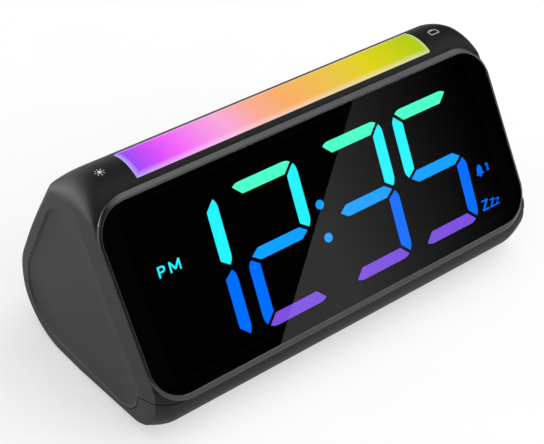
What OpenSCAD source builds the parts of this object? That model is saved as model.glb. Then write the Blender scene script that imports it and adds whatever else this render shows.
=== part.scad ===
// Digital alarm clock: a rounded triangular body with a leaning segment display,
// a night light bar along the apex and five keys on the rear face.
// The origin is on the resting surface under the middle of the clock: +X is to the right
// of a person who reads the display, +Y points to the rear and +Z up.

/* [Body] */
// Width of the body over its two ends
body_w = 153.6; // [146:0.2:170]
// Height of the body from its underside to the apex
body_h = 73.2; // [70:0.2:80]
// Lean of the front face from upright, in degrees
front_lean = 30; // [28:0.5:32]
// Lean of the rear face from upright, in degrees
rear_lean = 30; // [28:0.5:32]
// Radius of the rounded apex
apex_r = 14; // [13:0.2:15.6]
// Radius of the rounded lower front edge
front_r = 13.6; // [12:0.2:15]
// Radius of the rounded lower rear edge
rear_r = 20; // [18:0.5:22]
// Radius of the upper corners, seen from the front
top_corner_r = 10.8; // [8:0.2:13]
// Radius of the lower front corners, seen from the front
front_corner_r = 10; // [7:0.2:12]
// Wall thickness of the housing and the base cover
wall = 2.2; // [1.8:0.1:2.6]
// Width of the seam between the housing and the base cover
seam = 0.25; // [0.15:0.05:0.4]
// Depth of the dished panel in each end
dish_t = 0.8; // [0.4:0.1:1.2]

/* [Lens and bezel] */
// Height of the display lens
lens_h = 59.8; // [56:0.2:62]
// Corner radius of the lens
lens_r = 10.5; // [7:0.5:13]
// Thickness of the lens
lens_t = 1; // [0.8:0.1:1.2]
// How far the lens stands proud of the flat front face
lens_rise = 0.95; // [0.6:0.05:1.3]
// How far the lens sits below the middle of the flat front face
lens_drop = 0.7; // [0:0.1:1.5]
// Width of the bezel beside the lens
bezel_side_w = 0.8; // [0.5:0.1:1.5]
// Width of the bezel above and below the lens
bezel_edge_w = 2.05; // [1.5:0.05:2.5]

/* [Digits] */
// Height of a digit
digit_h = 45.2; // [40:0.2:48]
// Width of a digit as a share of the lens width
digit_share = 0.1658; // [0.14:0.0002:0.17]
// Thickness of a digit's strokes
stroke = 3.9; // [3:0.1:4.6]
// Sideways slant of the digits for each millimetre of height
slant = 0.06; // [0:0.01:0.1]
// Gap between neighbouring strokes
stroke_gap = 1.7; // [1.2:0.1:2.4]

/* [Light bar] */
// Distance from each end of the light bar to the end of the body
bar_end_w = 19.3; // [17:0.1:28]
// Width of the light bar across the apex
bar_w = 12.3; // [10:0.1:13]
// Lean of the light bar towards the front, in degrees
bar_lean = 5.5; // [0:0.5:10]
// How far the light bar is pressed to snooze
bar_travel = 0.6; // [0.3:0.1:0.8]
// Number of lamps under the light bar
lamp_count = 9; // [5:1:9]

/* [Rear controls] */
// Width of a rear key
key_w = 9; // [7:0.2:10]
// Height of a rear key
key_h = 4.6; // [4:0.2:6]
// Distance between the middles of two neighbouring keys
key_pitch = 14; // [13:0.5:15]
// How far a rear key is pressed
key_travel = 0.5; // [0.3:0.1:0.6]
// Radius of the loudspeaker
speaker_r = 14; // [11:0.5:15]
// Radius of a hole in the loudspeaker grille
grille_hole_r = 0.8; // [0.6:0.1:1]

/* [Base] */
// Height of the feet below the body
foot_stand = 0.8; // [0.5:0.1:1.5]
// Radius of a foot
foot_r = 5; // [4:0.5:6]
// Radius of the coin cell cover
cover_r = 12; // [11.5:0.5:14]
// Radius of the coin cell
cell_r = 10; // [8:0.5:10]
// Radius of a screw's shank
screw_r = 1.25; // [1:0.05:1.5]

/* [Hidden] */
$fn = 96;

// General clearances
fit = 0.1;
slide_gap = 0.2;
seat_gap = 0.3;
// How far the rounded end corners lie past the faces that they run into
corner_past = 0.03;
// Straight cut of the hollow's corners as a share of the outer corner radius
corner_cut = 0.6;
// Longer than any size of the clock, for cuts that run right through
reach = 400;

// Colours of the shells, boards and lit segments
shell_colour = [0.09, 0.09, 0.10];
bezel_colour = [0.30, 0.30, 0.31];
lens_colour = [0.01, 0.01, 0.012];
board_colour = [0.05, 0.25, 0.12];
metal_colour = [0.75, 0.75, 0.77];
mint = [0.30, 1.0, 0.78];
cyan = [0.15, 0.94, 0.98];
azure = [0.06, 0.63, 1.0];
blue = [0.0, 0.43, 1.0];
violet = [0.49, 0.31, 0.86];

// Section plane: a line is given by the angle of its outward normal and its distance
front_a = 180 - front_lean;
rear_a = rear_lean;
floor_a = 270;
front_up_a = 90 - front_lean;
rear_up_a = 90 + rear_lean;
top_corner_a = 80;
front_corner_a = 40;
function dir(a) = [cos(a), sin(a)];
function meet(a1, d1, a2, d2) =
    let (det = cos(a1) * sin(a2) - sin(a1) * cos(a2))
    [(d1 * sin(a2) - d2 * sin(a1)) / det, (cos(a1) * d2 - cos(a2) * d1) / det];

// Section with its apex centre at y = 0, used to find the middle of the depth
apex_z = foot_stand + body_h - apex_r;
front_d0 = sin(front_a) * apex_z + apex_r;
rear_d0 = sin(rear_a) * apex_z + apex_r;
floor_d = -foot_stand;
front_c0 = meet(front_a, front_d0 - front_r, floor_a, floor_d - front_r);
rear_c0 = meet(rear_a, rear_d0 - rear_r, floor_a, floor_d - rear_r);
lens_u = (dir(front_up_a) * [0, apex_z] + dir(front_up_a) * front_c0) / 2 - lens_drop;
bezel_h = lens_h + 2 * bezel_edge_w;
bezel_low0 = dir(front_up_a) * (lens_u - bezel_h / 2) + dir(front_a) * front_d0;
depth_min0 = min(front_c0.x - front_r, bezel_low0.x);
depth_max0 = rear_c0.x + rear_r;

// Section at its real place, with the depth shared evenly about the origin
apex_y = -(depth_min0 + depth_max0) / 2;
apex_c = [apex_y, apex_z];
front_c = front_c0 + [apex_y, 0];
rear_c = rear_c0 + [apex_y, 0];
front_d = front_d0 + cos(front_a) * apex_y;
rear_d = rear_d0 + cos(rear_a) * apex_y;
lens_mid_u = lens_u + cos(front_up_a) * apex_y;
lens_d = front_d + lens_rise;

// Dished end panel, measured inwards from the body's three faces
dish_front = 8.4;
dish_rear = 4.2;
dish_floor = 3.6;
dish_apex_r = 13.4;
dish_front_r = 11.5;
dish_rear_r = 17;

// Seam of the base cover: it starts below the bezel, runs into the dish and leaves at the rear
seam_drop = 0.3;
seam_u = lens_mid_u - bezel_h / 2 - seam_drop;
front_seam_a = front_lean - 46;
rear_seam_a = -8;

// Places along the front, counted from the lens face (n) and the lens middle (x, u)
lens_w = body_w - 2 * bezel_side_w;
bezel_r = lens_r + bezel_edge_w;
bezel_seat = 2.9;
frame_t = 2;
frame_top_u = bezel_h / 2 - 3.05;
window_side = 6.5;
window_edge = 2.5;
window_w = lens_w - 2 * window_side;
window_h = digit_h + 2 * window_edge;
window_r = 4;
box_front = lens_t + slide_gap;
box_t = 7;
box_w = window_w - 2 * fit - 1.6;
box_h = window_h - 2 * fit - 1.6;
segment_t = 2;
board_t = 1.6;
display_board_n = box_front + box_t + fit;
display_board_w = body_w - 2 * wall - 2 * seat_gap;
display_board_h = box_h + 1;
display_boss_r = 2;
display_boss_x = window_w / 2 + display_boss_r + 0.5;
display_boss_u = 20;

// Digits: places of their middles, seen through the lens
display_x = 0.57;
display_u = -1.43;
digit_w = digit_share * lens_w;
digit_pitch = 1.194 * digit_w;
hour_x = -0.837 * digit_w;
minute_x = 0.548 * digit_w;
digit_x = [hour_x - digit_pitch, hour_x, minute_x, minute_x + digit_pitch];
colon_x = -0.145 * digit_w;
colon_u = 5.35;
colon_r = 1.5;
// Strokes of each digit in the order a, b, c, d, e, f, g: 1 is lit, 0 dark and 2 left out
lit = [[2, 1, 1, 2, 2, 2, 2], [1, 1, 0, 1, 1, 0, 1], [1, 1, 1, 1, 0, 0, 1], [1, 0, 1, 1, 0, 1, 1]];
stroke_a = 0;
stroke_b = 1;
stroke_c = 2;
stroke_d = 3;
stroke_e = 4;
stroke_f = 5;
stroke_g = 6;

// Light bar, in a frame at the apex centre whose second axis points out of the apex
bar_a = 90 + bar_lean;
bar_len = body_w - 2 * bar_end_w;
bar_rise = 0.2;
bar_t = 2.6;
bar_lip = 0.6;
bar_lip_t = 1;
lamp_board_w = 10;
lamp_board_t = 1.2;
lamp_board_h = 3.6;
lamp_w = 5;
lamp_t = 1.6;
lamp_pitch = 0.104 * bar_len;
switch_top = 1.8;
snooze_x = bar_len / 2 - 3.5;
snooze_stem_r = 0.9;
snooze_stem_h = 1.4;
plunger_r = 1.5;
rib_x = bar_len / 2 + 2;
rib_t = 1.5;
lamp_board_len = 2 * (rib_x + rib_t + 0.5);
pad_x = rib_x + rib_t + 0.4;
pad_len = 6;
pad_t = 0.4;
pad_half_a = 20;

// Rear face, in a frame at the middle of its flat: x to the right seen from behind, y up
rear_flat = dir(rear_up_a) * apex_c - dir(rear_up_a) * rear_c;
rear_mid = apex_c + dir(rear_a) * apex_r - dir(rear_up_a) * rear_flat / 2;
key_y = 8;
key_names = 5;
key_rise = 0.7;
key_lip = 1;
key_lip_t = 0.9;
key_post_r = 1.75;
key_post_t = 0.6;
key_post_end = wall + seat_gap + key_lip_t + key_post_t;
stem_len = 2.3;
stem_gap = 0.1;
switch_w = 6;
switch_t = 3.5;
switch_face = key_post_end + 1.5;
rear_board_z = switch_face + switch_t;
inlet_x = -52;
inlet_y = -10;
inlet_w = 8.9;
inlet_h = 3.2;
rear_post_r = 2.4;
rear_post_right = key_pitch * (key_names - 1) / 2 + key_w / 2 + key_lip + seat_gap + rear_post_r;
rear_post_left = inlet_x - inlet_w / 2 - 2 * rear_post_r;
rear_post_x = (rear_post_right - rear_post_left) / 2;
rear_board_x = (rear_post_right + rear_post_left) / 2;
rear_board_w = 2 * rear_post_x + 2.5 * rear_post_r;
rear_board_h = 32;
rear_board_y = -2;
rear_post_y = rear_board_h / 2 - 3;
inlet_skin = 0.3;
inlet_depth = 0.6;
speaker_x = 52;
speaker_y = -2;
speaker_ring = 1.2;
gasket_t = 0.6;
basket_t = 3.6;
magnet_r = 7.5;
magnet_t = 3.4;
grille_pitch = 3.4;
grille_rings = 3;

// Floor of the base cover, in a frame at the middle of its flat, on its inner face
floor_mid_y = (front_c.x + rear_c.x) / 2;
floor_z = foot_stand + wall;
post_r = 3.2;
screw_head_r = 2.3;
screw_head_t = 1.6;
screw_len = 12;
screw_gap = 0.1;
small_screw_r = screw_r - 0.25;
small_screw_len = 5;
main_board_w = 92;
main_board_d = 38;
main_board_h = 7;
main_post_x = main_board_w / 2 - 4;
main_post_y = main_board_d / 2 - 3;
housing_post_x = body_w / 2 - 11;
housing_post_y = 16;
base_post_h = 4;
housing_post_h = 14;
foot_t = 1.5;
foot_x = body_w / 2 - 26;
foot_y = 15;
cover_x = -20;
cover_t = 1.5;
cover_neck_r = cover_r - 1.8;
lug_r = cover_r + 0.3;
lug_w = 5;
lug_t = 1.2;
ledge_t = 1.5;
ledge_r = cover_r + 3;
cell_t = 3.2;
coin_slot_w = 1.8;
coin_slot_len = 13;
coin_slot_t = 0.9;

// Frames and plane shapes
module along_x(length) { rotate([90, 0, 90]) linear_extrude(length, center = true) children(); }

module at_lens() {
    lens_c = dir(front_up_a) * lens_mid_u + dir(front_a) * lens_d;
    translate([0, lens_c.x, lens_c.y]) rotate([front_up_a, 0, 0]) children();
}

module at_bar() { translate([0, apex_c.x, apex_c.y]) rotate([bar_a - 90, 0, 0]) children(); }

module at_rear() {
    translate([0, rear_mid.x, rear_mid.y]) rotate([rear_a - 90, 0, 0]) rotate([0, 0, 180]) children();
}

module at_floor() { translate([0, floor_mid_y, floor_z]) children(); }

module layer(low, high) { translate([0, 0, low]) linear_extrude(high - low) children(); }

module rounded_box(w, h, r) {
    square([w - 2 * r, h], center = true);
    square([w, h - 2 * r], center = true);
    for (x = [-1, 1], y = [-1, 1])
        translate([x * (w / 2 - r), y * (h / 2 - r)]) circle(r);
}

module pill(w, h) {
    square([w - h, h], center = true);
    for (x = [-1, 1])
        translate([x * (w - h) / 2, 0]) circle(h / 2);
}

// Triangle with three rounded corners, from its three lines and three radii
module rounded_triangle(front, rear, floor, ra, rf, rr) {
    a = meet(front_a, front - ra, rear_a, rear - ra);
    f = meet(front_a, front - rf, floor_a, floor - rf);
    r = meet(rear_a, rear - rr, floor_a, floor - rr);
    polygon([a + ra * dir(rear_a), a + ra * dir(front_a), f + rf * dir(front_a),
        f + rf * dir(floor_a), r + rr * dir(floor_a), r + rr * dir(rear_a)]);
    translate(a) circle(ra);
    translate(f) circle(rf);
    translate(r) circle(rr);
}

module section(inset) {
    rounded_triangle(front_d - inset, rear_d - inset, floor_d - inset,
        apex_r - inset, front_r - inset, rear_r - inset);
}

module dish_outline() {
    rounded_triangle(front_d - dish_front, rear_d - dish_rear, floor_d - dish_floor,
        dish_apex_r, dish_front_r, dish_rear_r);
}

// Upright strip, a little larger than the body, whose top edge has two rounded corners
module rounded_top(half_w, edge, r) {
    corner_x = half_w - r + corner_past;
    corner_y = edge - r + corner_past;
    translate([-half_w - r, corner_y - reach]) square([2 * (half_w + r), reach]);
    translate([-corner_x, corner_y - reach]) square([2 * corner_x, reach + r]);
    for (x = [-1, 1])
        translate([x * corner_x, corner_y]) circle(r);
}

// Whole body, moved inwards by inset
module body_shape(inset) {
    half_w = body_w / 2 - inset;
    top_edge = dir(top_corner_a) * apex_c + apex_r - inset;
    front_edge = front_r - dir(front_corner_a) * front_c - inset;
    intersection() {
        along_x(2 * half_w) section(inset);
        rotate([top_corner_a, 0, 0]) linear_extrude(reach, center = true)
            rounded_top(half_w, top_edge, top_corner_r - inset);
        rotate([front_corner_a, 0, 0]) linear_extrude(reach, center = true) mirror([0, 1])
            rounded_top(half_w, front_edge, front_corner_r - inset);
    }
}

// Part of the section that belongs to the base cover
module base_zone() {
    front_mid = dir(front_up_a) * seam_u + dir(front_a) * front_d;
    front_in = front_mid + dir(front_seam_a) * 1.6 * dish_front;
    front_out = front_mid - dir(front_seam_a) * reach;
    rear_in = rear_c + dir(rear_seam_a) * (rear_r - 2 * dish_rear);
    rear_out = rear_c + dir(rear_seam_a) * reach;
    difference() {
        polygon([front_out, front_in, rear_in, rear_out, [reach, -reach], [-reach, -reach]]);
        dish_outline();
    }
}

// Strip like the one above whose corners are cut off straight
module cut_top(half_w, edge, cut) {
    polygon([[-half_w - cut, edge - reach], [half_w + cut, edge - reach], [half_w + cut, edge - 2 * cut],
        [half_w - cut, edge + corner_past], [cut - half_w, edge + corner_past], [-half_w - cut, edge - 2 * cut]]);
}

// Hollow inside the two shells
module cavity() {
    half_w = body_w / 2 - wall;
    top_edge = dir(top_corner_a) * apex_c + apex_r - wall;
    front_edge = front_r - dir(front_corner_a) * front_c - wall;
    intersection() {
        along_x(2 * half_w) section(wall);
        rotate([top_corner_a, 0, 0]) linear_extrude(reach, center = true)
            cut_top(half_w, top_edge, corner_cut * top_corner_r);
        rotate([front_corner_a, 0, 0]) linear_extrude(reach, center = true) mirror([0, 1])
            cut_top(half_w, front_edge, corner_cut * front_corner_r);
    }
}

// Shells
module upper_housing() color(shell_colour) difference() {
    body_shape(0);
    difference() {
        cavity();
        housing_inside();
    }
    along_x(reach) base_zone();
    translate([0, 0, seam]) along_x(reach) base_zone();
    for (x = [-1, 1])
        translate([x * (body_w / 2 + reach / 2 - dish_t), 0, 0]) along_x(reach) dish_outline();
    at_lens() bezel_pocket();
    at_lens() translate([0, display_u]) layer(-2 * bezel_seat - frame_t, reach / 8)
        rounded_box(window_w, window_h, window_r);
    at_bar() layer(0, reach / 8) square([bar_len + 2 * slide_gap, bar_w + 2 * slide_gap], center = true);
    at_rear() rear_openings();
    at_bar() lamp_board_slab(fit);
    for (x = [-1, 1], y = [-1, 1])
        at_floor() translate([x * housing_post_x, y * housing_post_y])
            layer(base_post_h, base_post_h + screw_len) circle(screw_r + screw_gap);
    at_lens() display_boss_holes();
    at_rear() rear_post_holes();
}

// Frame behind the bezel, ribs, bosses and posts that stand inside the housing
module housing_inside() {
    at_lens() translate([0, frame_top_u - reach / 2]) layer(-bezel_seat - frame_t, wall)
        square(reach, center = true);
    at_rear() translate([speaker_x, speaker_y]) layer(-wall - gasket_t - basket_t / 2, wall)
        circle(speaker_r + fit + speaker_ring);
    for (x = [-1, 1])
        at_bar() lamp_rib(x);
    for (x = [-1, 1], y = [-1, 1])
        housing_post(x, y);
    at_lens() display_bosses();
    at_rear() rear_posts();
}

// Pocket for the bezel's rear plate, open below, and a shallow seat for its whole outline
module bezel_pocket() {
    layer(-bezel_seat, reach / 8)
        rounded_box(body_w - 2 * wall + 2 * fit, bezel_h + 2 * fit, bezel_r);
    translate([0, -bezel_h / 2]) layer(-bezel_seat, reach / 8)
        square([body_w - 2 * wall - 2 * bezel_r, 2 * bezel_edge_w], center = true);
    layer(-lens_t - 1.5 * fit, reach / 8) rounded_box(body_w + 2, bezel_h + 2 * fit, bezel_r + 1);
}

module rear_openings() {
    for (i = [0 : key_names - 1])
        translate([key_x(i), key_y]) layer(-2 * wall, wall) pill(key_w + 2 * slide_gap, key_h + 2 * slide_gap);
    translate([inlet_x, inlet_y]) layer(-2 * wall, wall) pill(inlet_w + 2 * slide_gap, inlet_h + 2 * slide_gap);
    translate([speaker_x, speaker_y]) layer(-2 * bezel_seat - basket_t, -wall) circle(speaker_r + fit);
    translate([speaker_x, speaker_y]) grille_holes();
}

// Holes of the grille on a triangular grid, in rings about its middle
module grille_holes() {
    for (i = [-grille_rings : grille_rings], j = [-grille_rings : grille_rings])
        if (abs(i + j) <= grille_rings)
            translate([grille_pitch * (i + j / 2), grille_pitch * j * sqrt(3) / 2])
                layer(-2 * wall, wall) circle(grille_hole_r);
}

function key_x(i) = key_pitch * (i - (key_names - 1) / 2);

// Rib across the apex that holds one end of the lamp board
module lamp_rib(side) {
    translate([side * (rib_x + rib_t / 2), 0, lamp_board_h - 2])
        linear_extrude(apex_r) square([rib_t, 2 * apex_r], center = true);
}

module lamp_board_slab(gap) {
    translate([0, 0, lamp_board_h - gap])
        linear_extrude(lamp_board_t + 2 * gap)
            square([lamp_board_len + 2 * gap, lamp_board_w + 2 * gap], center = true);
}

// Screw post with a rib that ties it to the end wall
module housing_post(x, y) {
    rib_len = body_w / 2 - housing_post_x;
    at_floor() translate([x * housing_post_x, y * housing_post_y, base_post_h + fit]) {
        cylinder(h = housing_post_h, r = post_r);
        translate([x * rib_len / 2, 0, housing_post_h / 2])
            cube([rib_len, wall, housing_post_h], center = true);
    }
}

module at_display_bosses() {
    for (x = [-1, 1], u = [-1, 1])
        translate([x * display_boss_x, display_u + u * display_boss_u]) children();
}

module display_bosses() { at_display_bosses() layer(-display_board_n, -bezel_seat) circle(display_boss_r); }

module display_boss_holes() {
    at_display_bosses() layer(-display_board_n - 1, -bezel_seat - frame_t / 2) circle(small_screw_r + screw_gap);
}

module at_rear_posts() {
    for (x = [-1, 1], y = [-1, 1])
        translate([rear_board_x + x * rear_post_x, rear_board_y + y * rear_post_y]) children();
}

module rear_posts() { at_rear_posts() layer(-rear_board_z, wall) circle(rear_post_r); }

module rear_post_holes() { at_rear_posts() layer(-rear_board_z - 1, -wall - 0.5) circle(small_screw_r + screw_gap); }

module base_cover() color(shell_colour) {
    difference() {
        union() {
            difference() {
                intersection() {
                    body_shape(0);
                    along_x(reach) base_zone();
                }
                cavity();
            }
            at_floor() {
                for (x = [-1, 1], y = [-1, 1]) {
                    translate([x * housing_post_x, y * housing_post_y, -wall / 2])
                        cylinder(h = base_post_h + wall / 2, r = post_r + 0.6);
                    translate([x * main_post_x, y * main_post_y, -wall / 2])
                        cylinder(h = main_board_h + wall / 2, r = post_r);
                }
                translate([cover_x, 0, -wall / 2]) cylinder(h = wall / 2 + ledge_t, r = ledge_r);
            }
        }
        at_floor() base_holes();
        at_lens() bezel_pocket();
    }
}

module base_holes() {
    for (x = [-1, 1], y = [-1, 1]) {
        translate([x * housing_post_x, y * housing_post_y]) {
            layer(-reach / 8, base_post_h + 1) circle(screw_r + slide_gap);
            layer(-reach / 8, base_post_h - wall) circle(screw_head_r + slide_gap);
        }
        translate([x * main_post_x, y * main_post_y])
            layer(0, main_board_h + 1) circle(screw_r + screw_gap);
        translate([x * foot_x, y * foot_y])
            layer(-reach / 8, foot_t - foot_stand - wall) circle(foot_r + fit);
    }
    translate([cover_x, 0]) {
        layer(-reach / 8, cover_t + slide_gap - wall) circle(cover_r + slide_gap);
        layer(-reach / 8, ledge_t + 1) circle(cover_neck_r + slide_gap);
        layer(-reach / 8, ledge_t + 1) rotate(90) lug_bar(slide_gap);
    }
}

// Two lugs of the coin cell cover, opposite each other
module lug_bar(gap) {
    intersection() {
        circle(lug_r + gap);
        square([2 * reach / 8, lug_w + 2 * gap], center = true);
    }
}

// Display
module display_lens() color(lens_colour) at_lens() layer(-lens_t, 0) rounded_box(lens_w, lens_h, lens_r);

module lens_bezel() color(bezel_colour) at_lens() difference() {
    union() {
        layer(-bezel_seat + fit, -lens_rise) rounded_box(body_w - 2 * wall, bezel_h, bezel_r);
        hull() {
            layer(-lens_t - fit, -lens_rise) rounded_box(body_w - fit, bezel_h, bezel_r, $fn = 32);
            layer(-lens_rise, 0) rounded_box(lens_w + fit, lens_h + fit, lens_r, $fn = 32);
        }
    }
    layer(-lens_t - fit, lens_t) rounded_box(lens_w + fit / 2, lens_h + fit / 2, lens_r);
    translate([0, display_u]) layer(-2 * bezel_seat, lens_t) rounded_box(window_w, window_h, window_r);
}

// Outline of one stroke of a digit about the digit's middle, before the slant
function stroke_points(s) =
    let (w = digit_w / 2, h = digit_h / 2, t = stroke, g = stroke_gap, m = stroke / 2)
    s == stroke_a ? [[-w + 2 * g, h], [w - 2 * g, h], [w - g, h - t / 3], [w - t - g / 2, h - t],
        [-w + t + g / 2, h - t], [-w + g, h - t / 3]]
    : s == stroke_d ? [for (p = stroke_points(stroke_a)) [p.x, -p.y]]
    : s == stroke_g ? [[-w + g, 0], [-w + g + m, m], [w - g - m, m], [w - g, 0], [w - g - m, -m], [-w + g + m, -m]]
    : s == stroke_b ? [[w, h - 2 * g], [w, g * 0.6], [w - t, g * 0.6 + m], [w - t, h - t - g], [w - t / 3, h - g]]
    : s == stroke_c ? [for (p = stroke_points(stroke_b)) [p.x, -p.y]]
    : s == stroke_e ? [for (p = stroke_points(stroke_b)) [-p.x, -p.y]]
    : [for (p = stroke_points(stroke_b)) [-p.x, p.y]];

// Seven-segment digits: a stroke is drawn at every digit where wanted is its lit state
module strokes(s, wanted) {
    for (i = [0 : 3])
        if (lit[i][s] == wanted)
            translate([digit_x[i], 0]) polygon([for (p = stroke_points(s)) [p.x + slant * p.y, p.y]]);
}

module colon() {
    for (s = [-1, 1])
        translate([colon_x + s * slant * colon_u, s * colon_u]) circle(colon_r);
}

module at_digits() { at_lens() translate([display_x, display_u, -box_front]) children(); }

module segment_layer() { at_digits() layer(-segment_t, 0) children(); }

module segments_top() color(mint) segment_layer() strokes(stroke_a, 1);

module segments_upper() color(cyan) segment_layer() {
    strokes(stroke_b, 1);
    strokes(stroke_f, 1);
}

module segments_middle() color(azure) segment_layer() {
    strokes(stroke_g, 1);
    colon();
}

module segments_lower() color(blue) segment_layer() {
    strokes(stroke_c, 1);
    strokes(stroke_e, 1);
}

module segments_bottom() color(violet) segment_layer() strokes(stroke_d, 1);

module segments_unlit() color(lens_colour) segment_layer() {
    for (s = [stroke_a : stroke_g])
        strokes(s, 0);
}

// A straight bar between two points, for the strokes of small marks
module bar(p, q, t) {
    d = q - p;
    translate(p) rotate(atan2(d.y, d.x)) translate([-t / 2, -t / 2]) square([norm(d) + t, t]);
}

mark_t = 0.75;
afternoon_x = -lens_w / 2 + 13.4;
afternoon_u = 6.4;
afternoon_h = 3.4;
letter_w = 3;
letter_pitch = 4.9;

// PM indicator
module afternoon_letters() {
    h = afternoon_h;
    w = letter_w;
    bar([0, 0], [0, h], mark_t);
    bar([0, h], [w * 0.7, h], mark_t);
    bar([w * 0.7, h], [w * 0.7, h * 0.45], mark_t);
    bar([0, h * 0.45], [w * 0.7, h * 0.45], mark_t);
    translate([letter_pitch, 0]) {
        bar([0, 0], [0, h], mark_t);
        bar([0, h], [w / 2, h * 0.4], mark_t);
        bar([w / 2, h * 0.4], [w, h], mark_t);
        bar([w, h], [w, 0], mark_t);
    }
}

module afternoon_mark() color(cyan) segment_layer() translate([afternoon_x, afternoon_u]) afternoon_letters();

bell_x = lens_w / 2 - 15.2;
bell_u = -7.6;
bell_w = 3;
bell_h = 3.2;
one_x = bell_x + 3.5;
snooze_mark_x = bell_x - 2.8;
snooze_mark_u = -20.6;
snooze_mark_h = [3.4, 2.8, 2.2];
snooze_mark_step = [0, 3.6, 6.5];

// Alarm bell, its number and the snooze mark
module alarm_mark_shapes() {
    translate([bell_x, bell_u]) {
        polygon([[-bell_w / 2, -bell_h / 3], [-bell_w / 3, 0], [-bell_w / 4, bell_h / 2], [bell_w / 4, bell_h / 2],
            [bell_w / 3, 0], [bell_w / 2, -bell_h / 3]]);
        translate([0, -bell_h / 2]) circle(bell_w / 7);
    }
    bar([one_x, bell_u - bell_h / 3], [one_x, bell_u + bell_h / 3], mark_t * 0.7);
    for (i = [0 : 2])
        translate([snooze_mark_x + snooze_mark_step[i], snooze_mark_u]) snooze_letter(snooze_mark_h[i]);
}

module snooze_letter(h) {
    w = h * 0.7;
    bar([0, h], [w, h], mark_t * 0.7);
    bar([w, h], [0, 0], mark_t * 0.7);
    bar([0, 0], [w, 0], mark_t * 0.7);
}

module alarm_marks() color(blue) segment_layer() alarm_mark_shapes();

// Black box that keeps the light of each stroke to itself
module light_box() color([0.05, 0.05, 0.05]) difference() {
    at_lens() translate([0, display_u]) layer(-box_front - box_t, -box_front)
        rounded_box(box_w, box_h, window_r / 2);
    at_digits() layer(-segment_t - fit, segment_t) all_windows();
    at_digits() layer(-2 * box_t, segment_t) light_wells();
}

module all_windows() {
    for (s = [stroke_a : stroke_g], wanted = [0, 1])
        strokes(s, wanted);
    colon();
    translate([afternoon_x, afternoon_u]) afternoon_letters();
    alarm_mark_shapes();
}

led_w = 1.6;
led_d = 0.8;
led_t = 0.7;
well_r = 1.4;

// Middle of each stroke, before the slant
function stroke_mid(s) =
    let (w = digit_w / 2 - stroke / 2, h = digit_h / 2 - stroke / 2)
    s == stroke_a ? [0, h] : s == stroke_d ? [0, -h] : s == stroke_g ? [0, 0]
    : s == stroke_b ? [w, h / 2] : s == stroke_c ? [w, -h / 2] : s == stroke_e ? [-w, -h / 2] : [-w, h / 2];

module at_strokes() {
    for (i = [0 : 3], s = [stroke_a : stroke_g])
        if (lit[i][s] < 2)
            let (p = stroke_mid(s)) translate([digit_x[i] + p.x + slant * p.y, p.y]) children();
    for (s = [-1, 1])
        translate([colon_x + s * slant * colon_u, s * colon_u]) children();
}

module light_wells() { at_strokes() circle(well_r); }

module display_leds() color([0.9, 0.9, 0.85]) at_digits()
    layer(box_front - display_board_n, box_front - display_board_n + led_t)
        at_strokes() square([led_w, led_d], center = true);

module display_board() color(board_colour) at_lens() difference() {
    translate([0, display_u]) layer(-display_board_n - board_t, -display_board_n)
        square([display_board_w, display_board_h], center = true);
    at_display_bosses() layer(-2 * display_board_n, 0) circle(small_screw_r + screw_gap);
}

module display_board_screws() color(metal_colour) at_lens() at_display_bosses()
    translate([0, 0, -display_board_n - board_t]) rotate([180, 0, 0]) pan_screw(small_screw_r, small_screw_len);

// Screw whose head stands on z = 0 and whose shank points down
module pan_screw(r, length) {
    difference() {
        cylinder(h = screw_head_t * 0.75, r = 1.7 * r);
        translate([0, 0, screw_head_t * 0.75]) cube([2.4 * r, 0.5, 0.8], center = true);
        translate([0, 0, screw_head_t * 0.75]) cube([0.5, 2.4 * r, 0.8], center = true);
    }
    translate([0, 0, -length]) cylinder(h = length, r = r);
}

// Light bar and what lies under it
module bar_ring(r, t, w, length) {
    along_x(length) intersection() {
        difference() {
            circle(r);
            circle(r - t);
        }
        translate([-w / 2, 0]) square([w, 2 * r]);
    }
}

bar_under = apex_r + bar_rise - bar_t;
plunger_low = lamp_board_h + lamp_board_t + switch_top + snooze_stem_h / 2;

module light_bar() color([0.95, 0.92, 0.98]) at_bar() {
    bar_ring(apex_r + bar_rise, bar_t, bar_w, bar_len);
    bar_ring(apex_r - wall - seat_gap, bar_lip_t, bar_w + 2 * bar_lip, bar_len + 2 * bar_lip);
    for (x = [-1, 1])
        translate([x * snooze_x, 0, plunger_low])
            cylinder(h = bar_under + bar_t / 2 - plunger_low, r = plunger_r);
}

module snooze_stems() color([0.1, 0.1, 0.1]) at_bar()
    for (x = [-1, 1])
        translate([x * snooze_x, 0, plunger_low - snooze_stem_h])
            cylinder(h = snooze_stem_h, r = snooze_stem_r);

module snooze_switches() color(metal_colour) at_bar()
    for (x = [-1, 1])
        translate([x * snooze_x, 0, lamp_board_h + lamp_board_t]) difference() {
            translate([0, 0, switch_top / 2]) cube([4, 4, switch_top], center = true);
            translate([0, 0, switch_top - snooze_stem_h / 2 - bar_travel - fit])
                cylinder(h = switch_top, r = snooze_stem_r + stem_gap);
        }

module lamp_board() color([0.9, 0.9, 0.88]) at_bar() lamp_board_slab(0);

module lamps() color([0.95, 0.95, 0.9]) at_bar()
    for (i = [0 : lamp_count - 1])
        translate([lamp_pitch * (i - (lamp_count - 1) / 2), 0, lamp_board_h + lamp_board_t]) difference() {
            translate([0, 0, lamp_t / 2]) cube([lamp_w, lamp_w, lamp_t], center = true);
            translate([0, 0, lamp_t / 2]) cylinder(h = lamp_t, r = lamp_w * 0.4);
        }

// Sensor plates under the shell at both ends of the light bar
module touch_pads() color([0.8, 0.5, 0.25]) at_bar()
    for (x = [-1, 1])
        translate([x * (pad_x + pad_len / 2), 0, 0])
            bar_ring(apex_r - wall - fit, pad_t, 2 * apex_r * sin(pad_half_a), pad_len);

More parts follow.
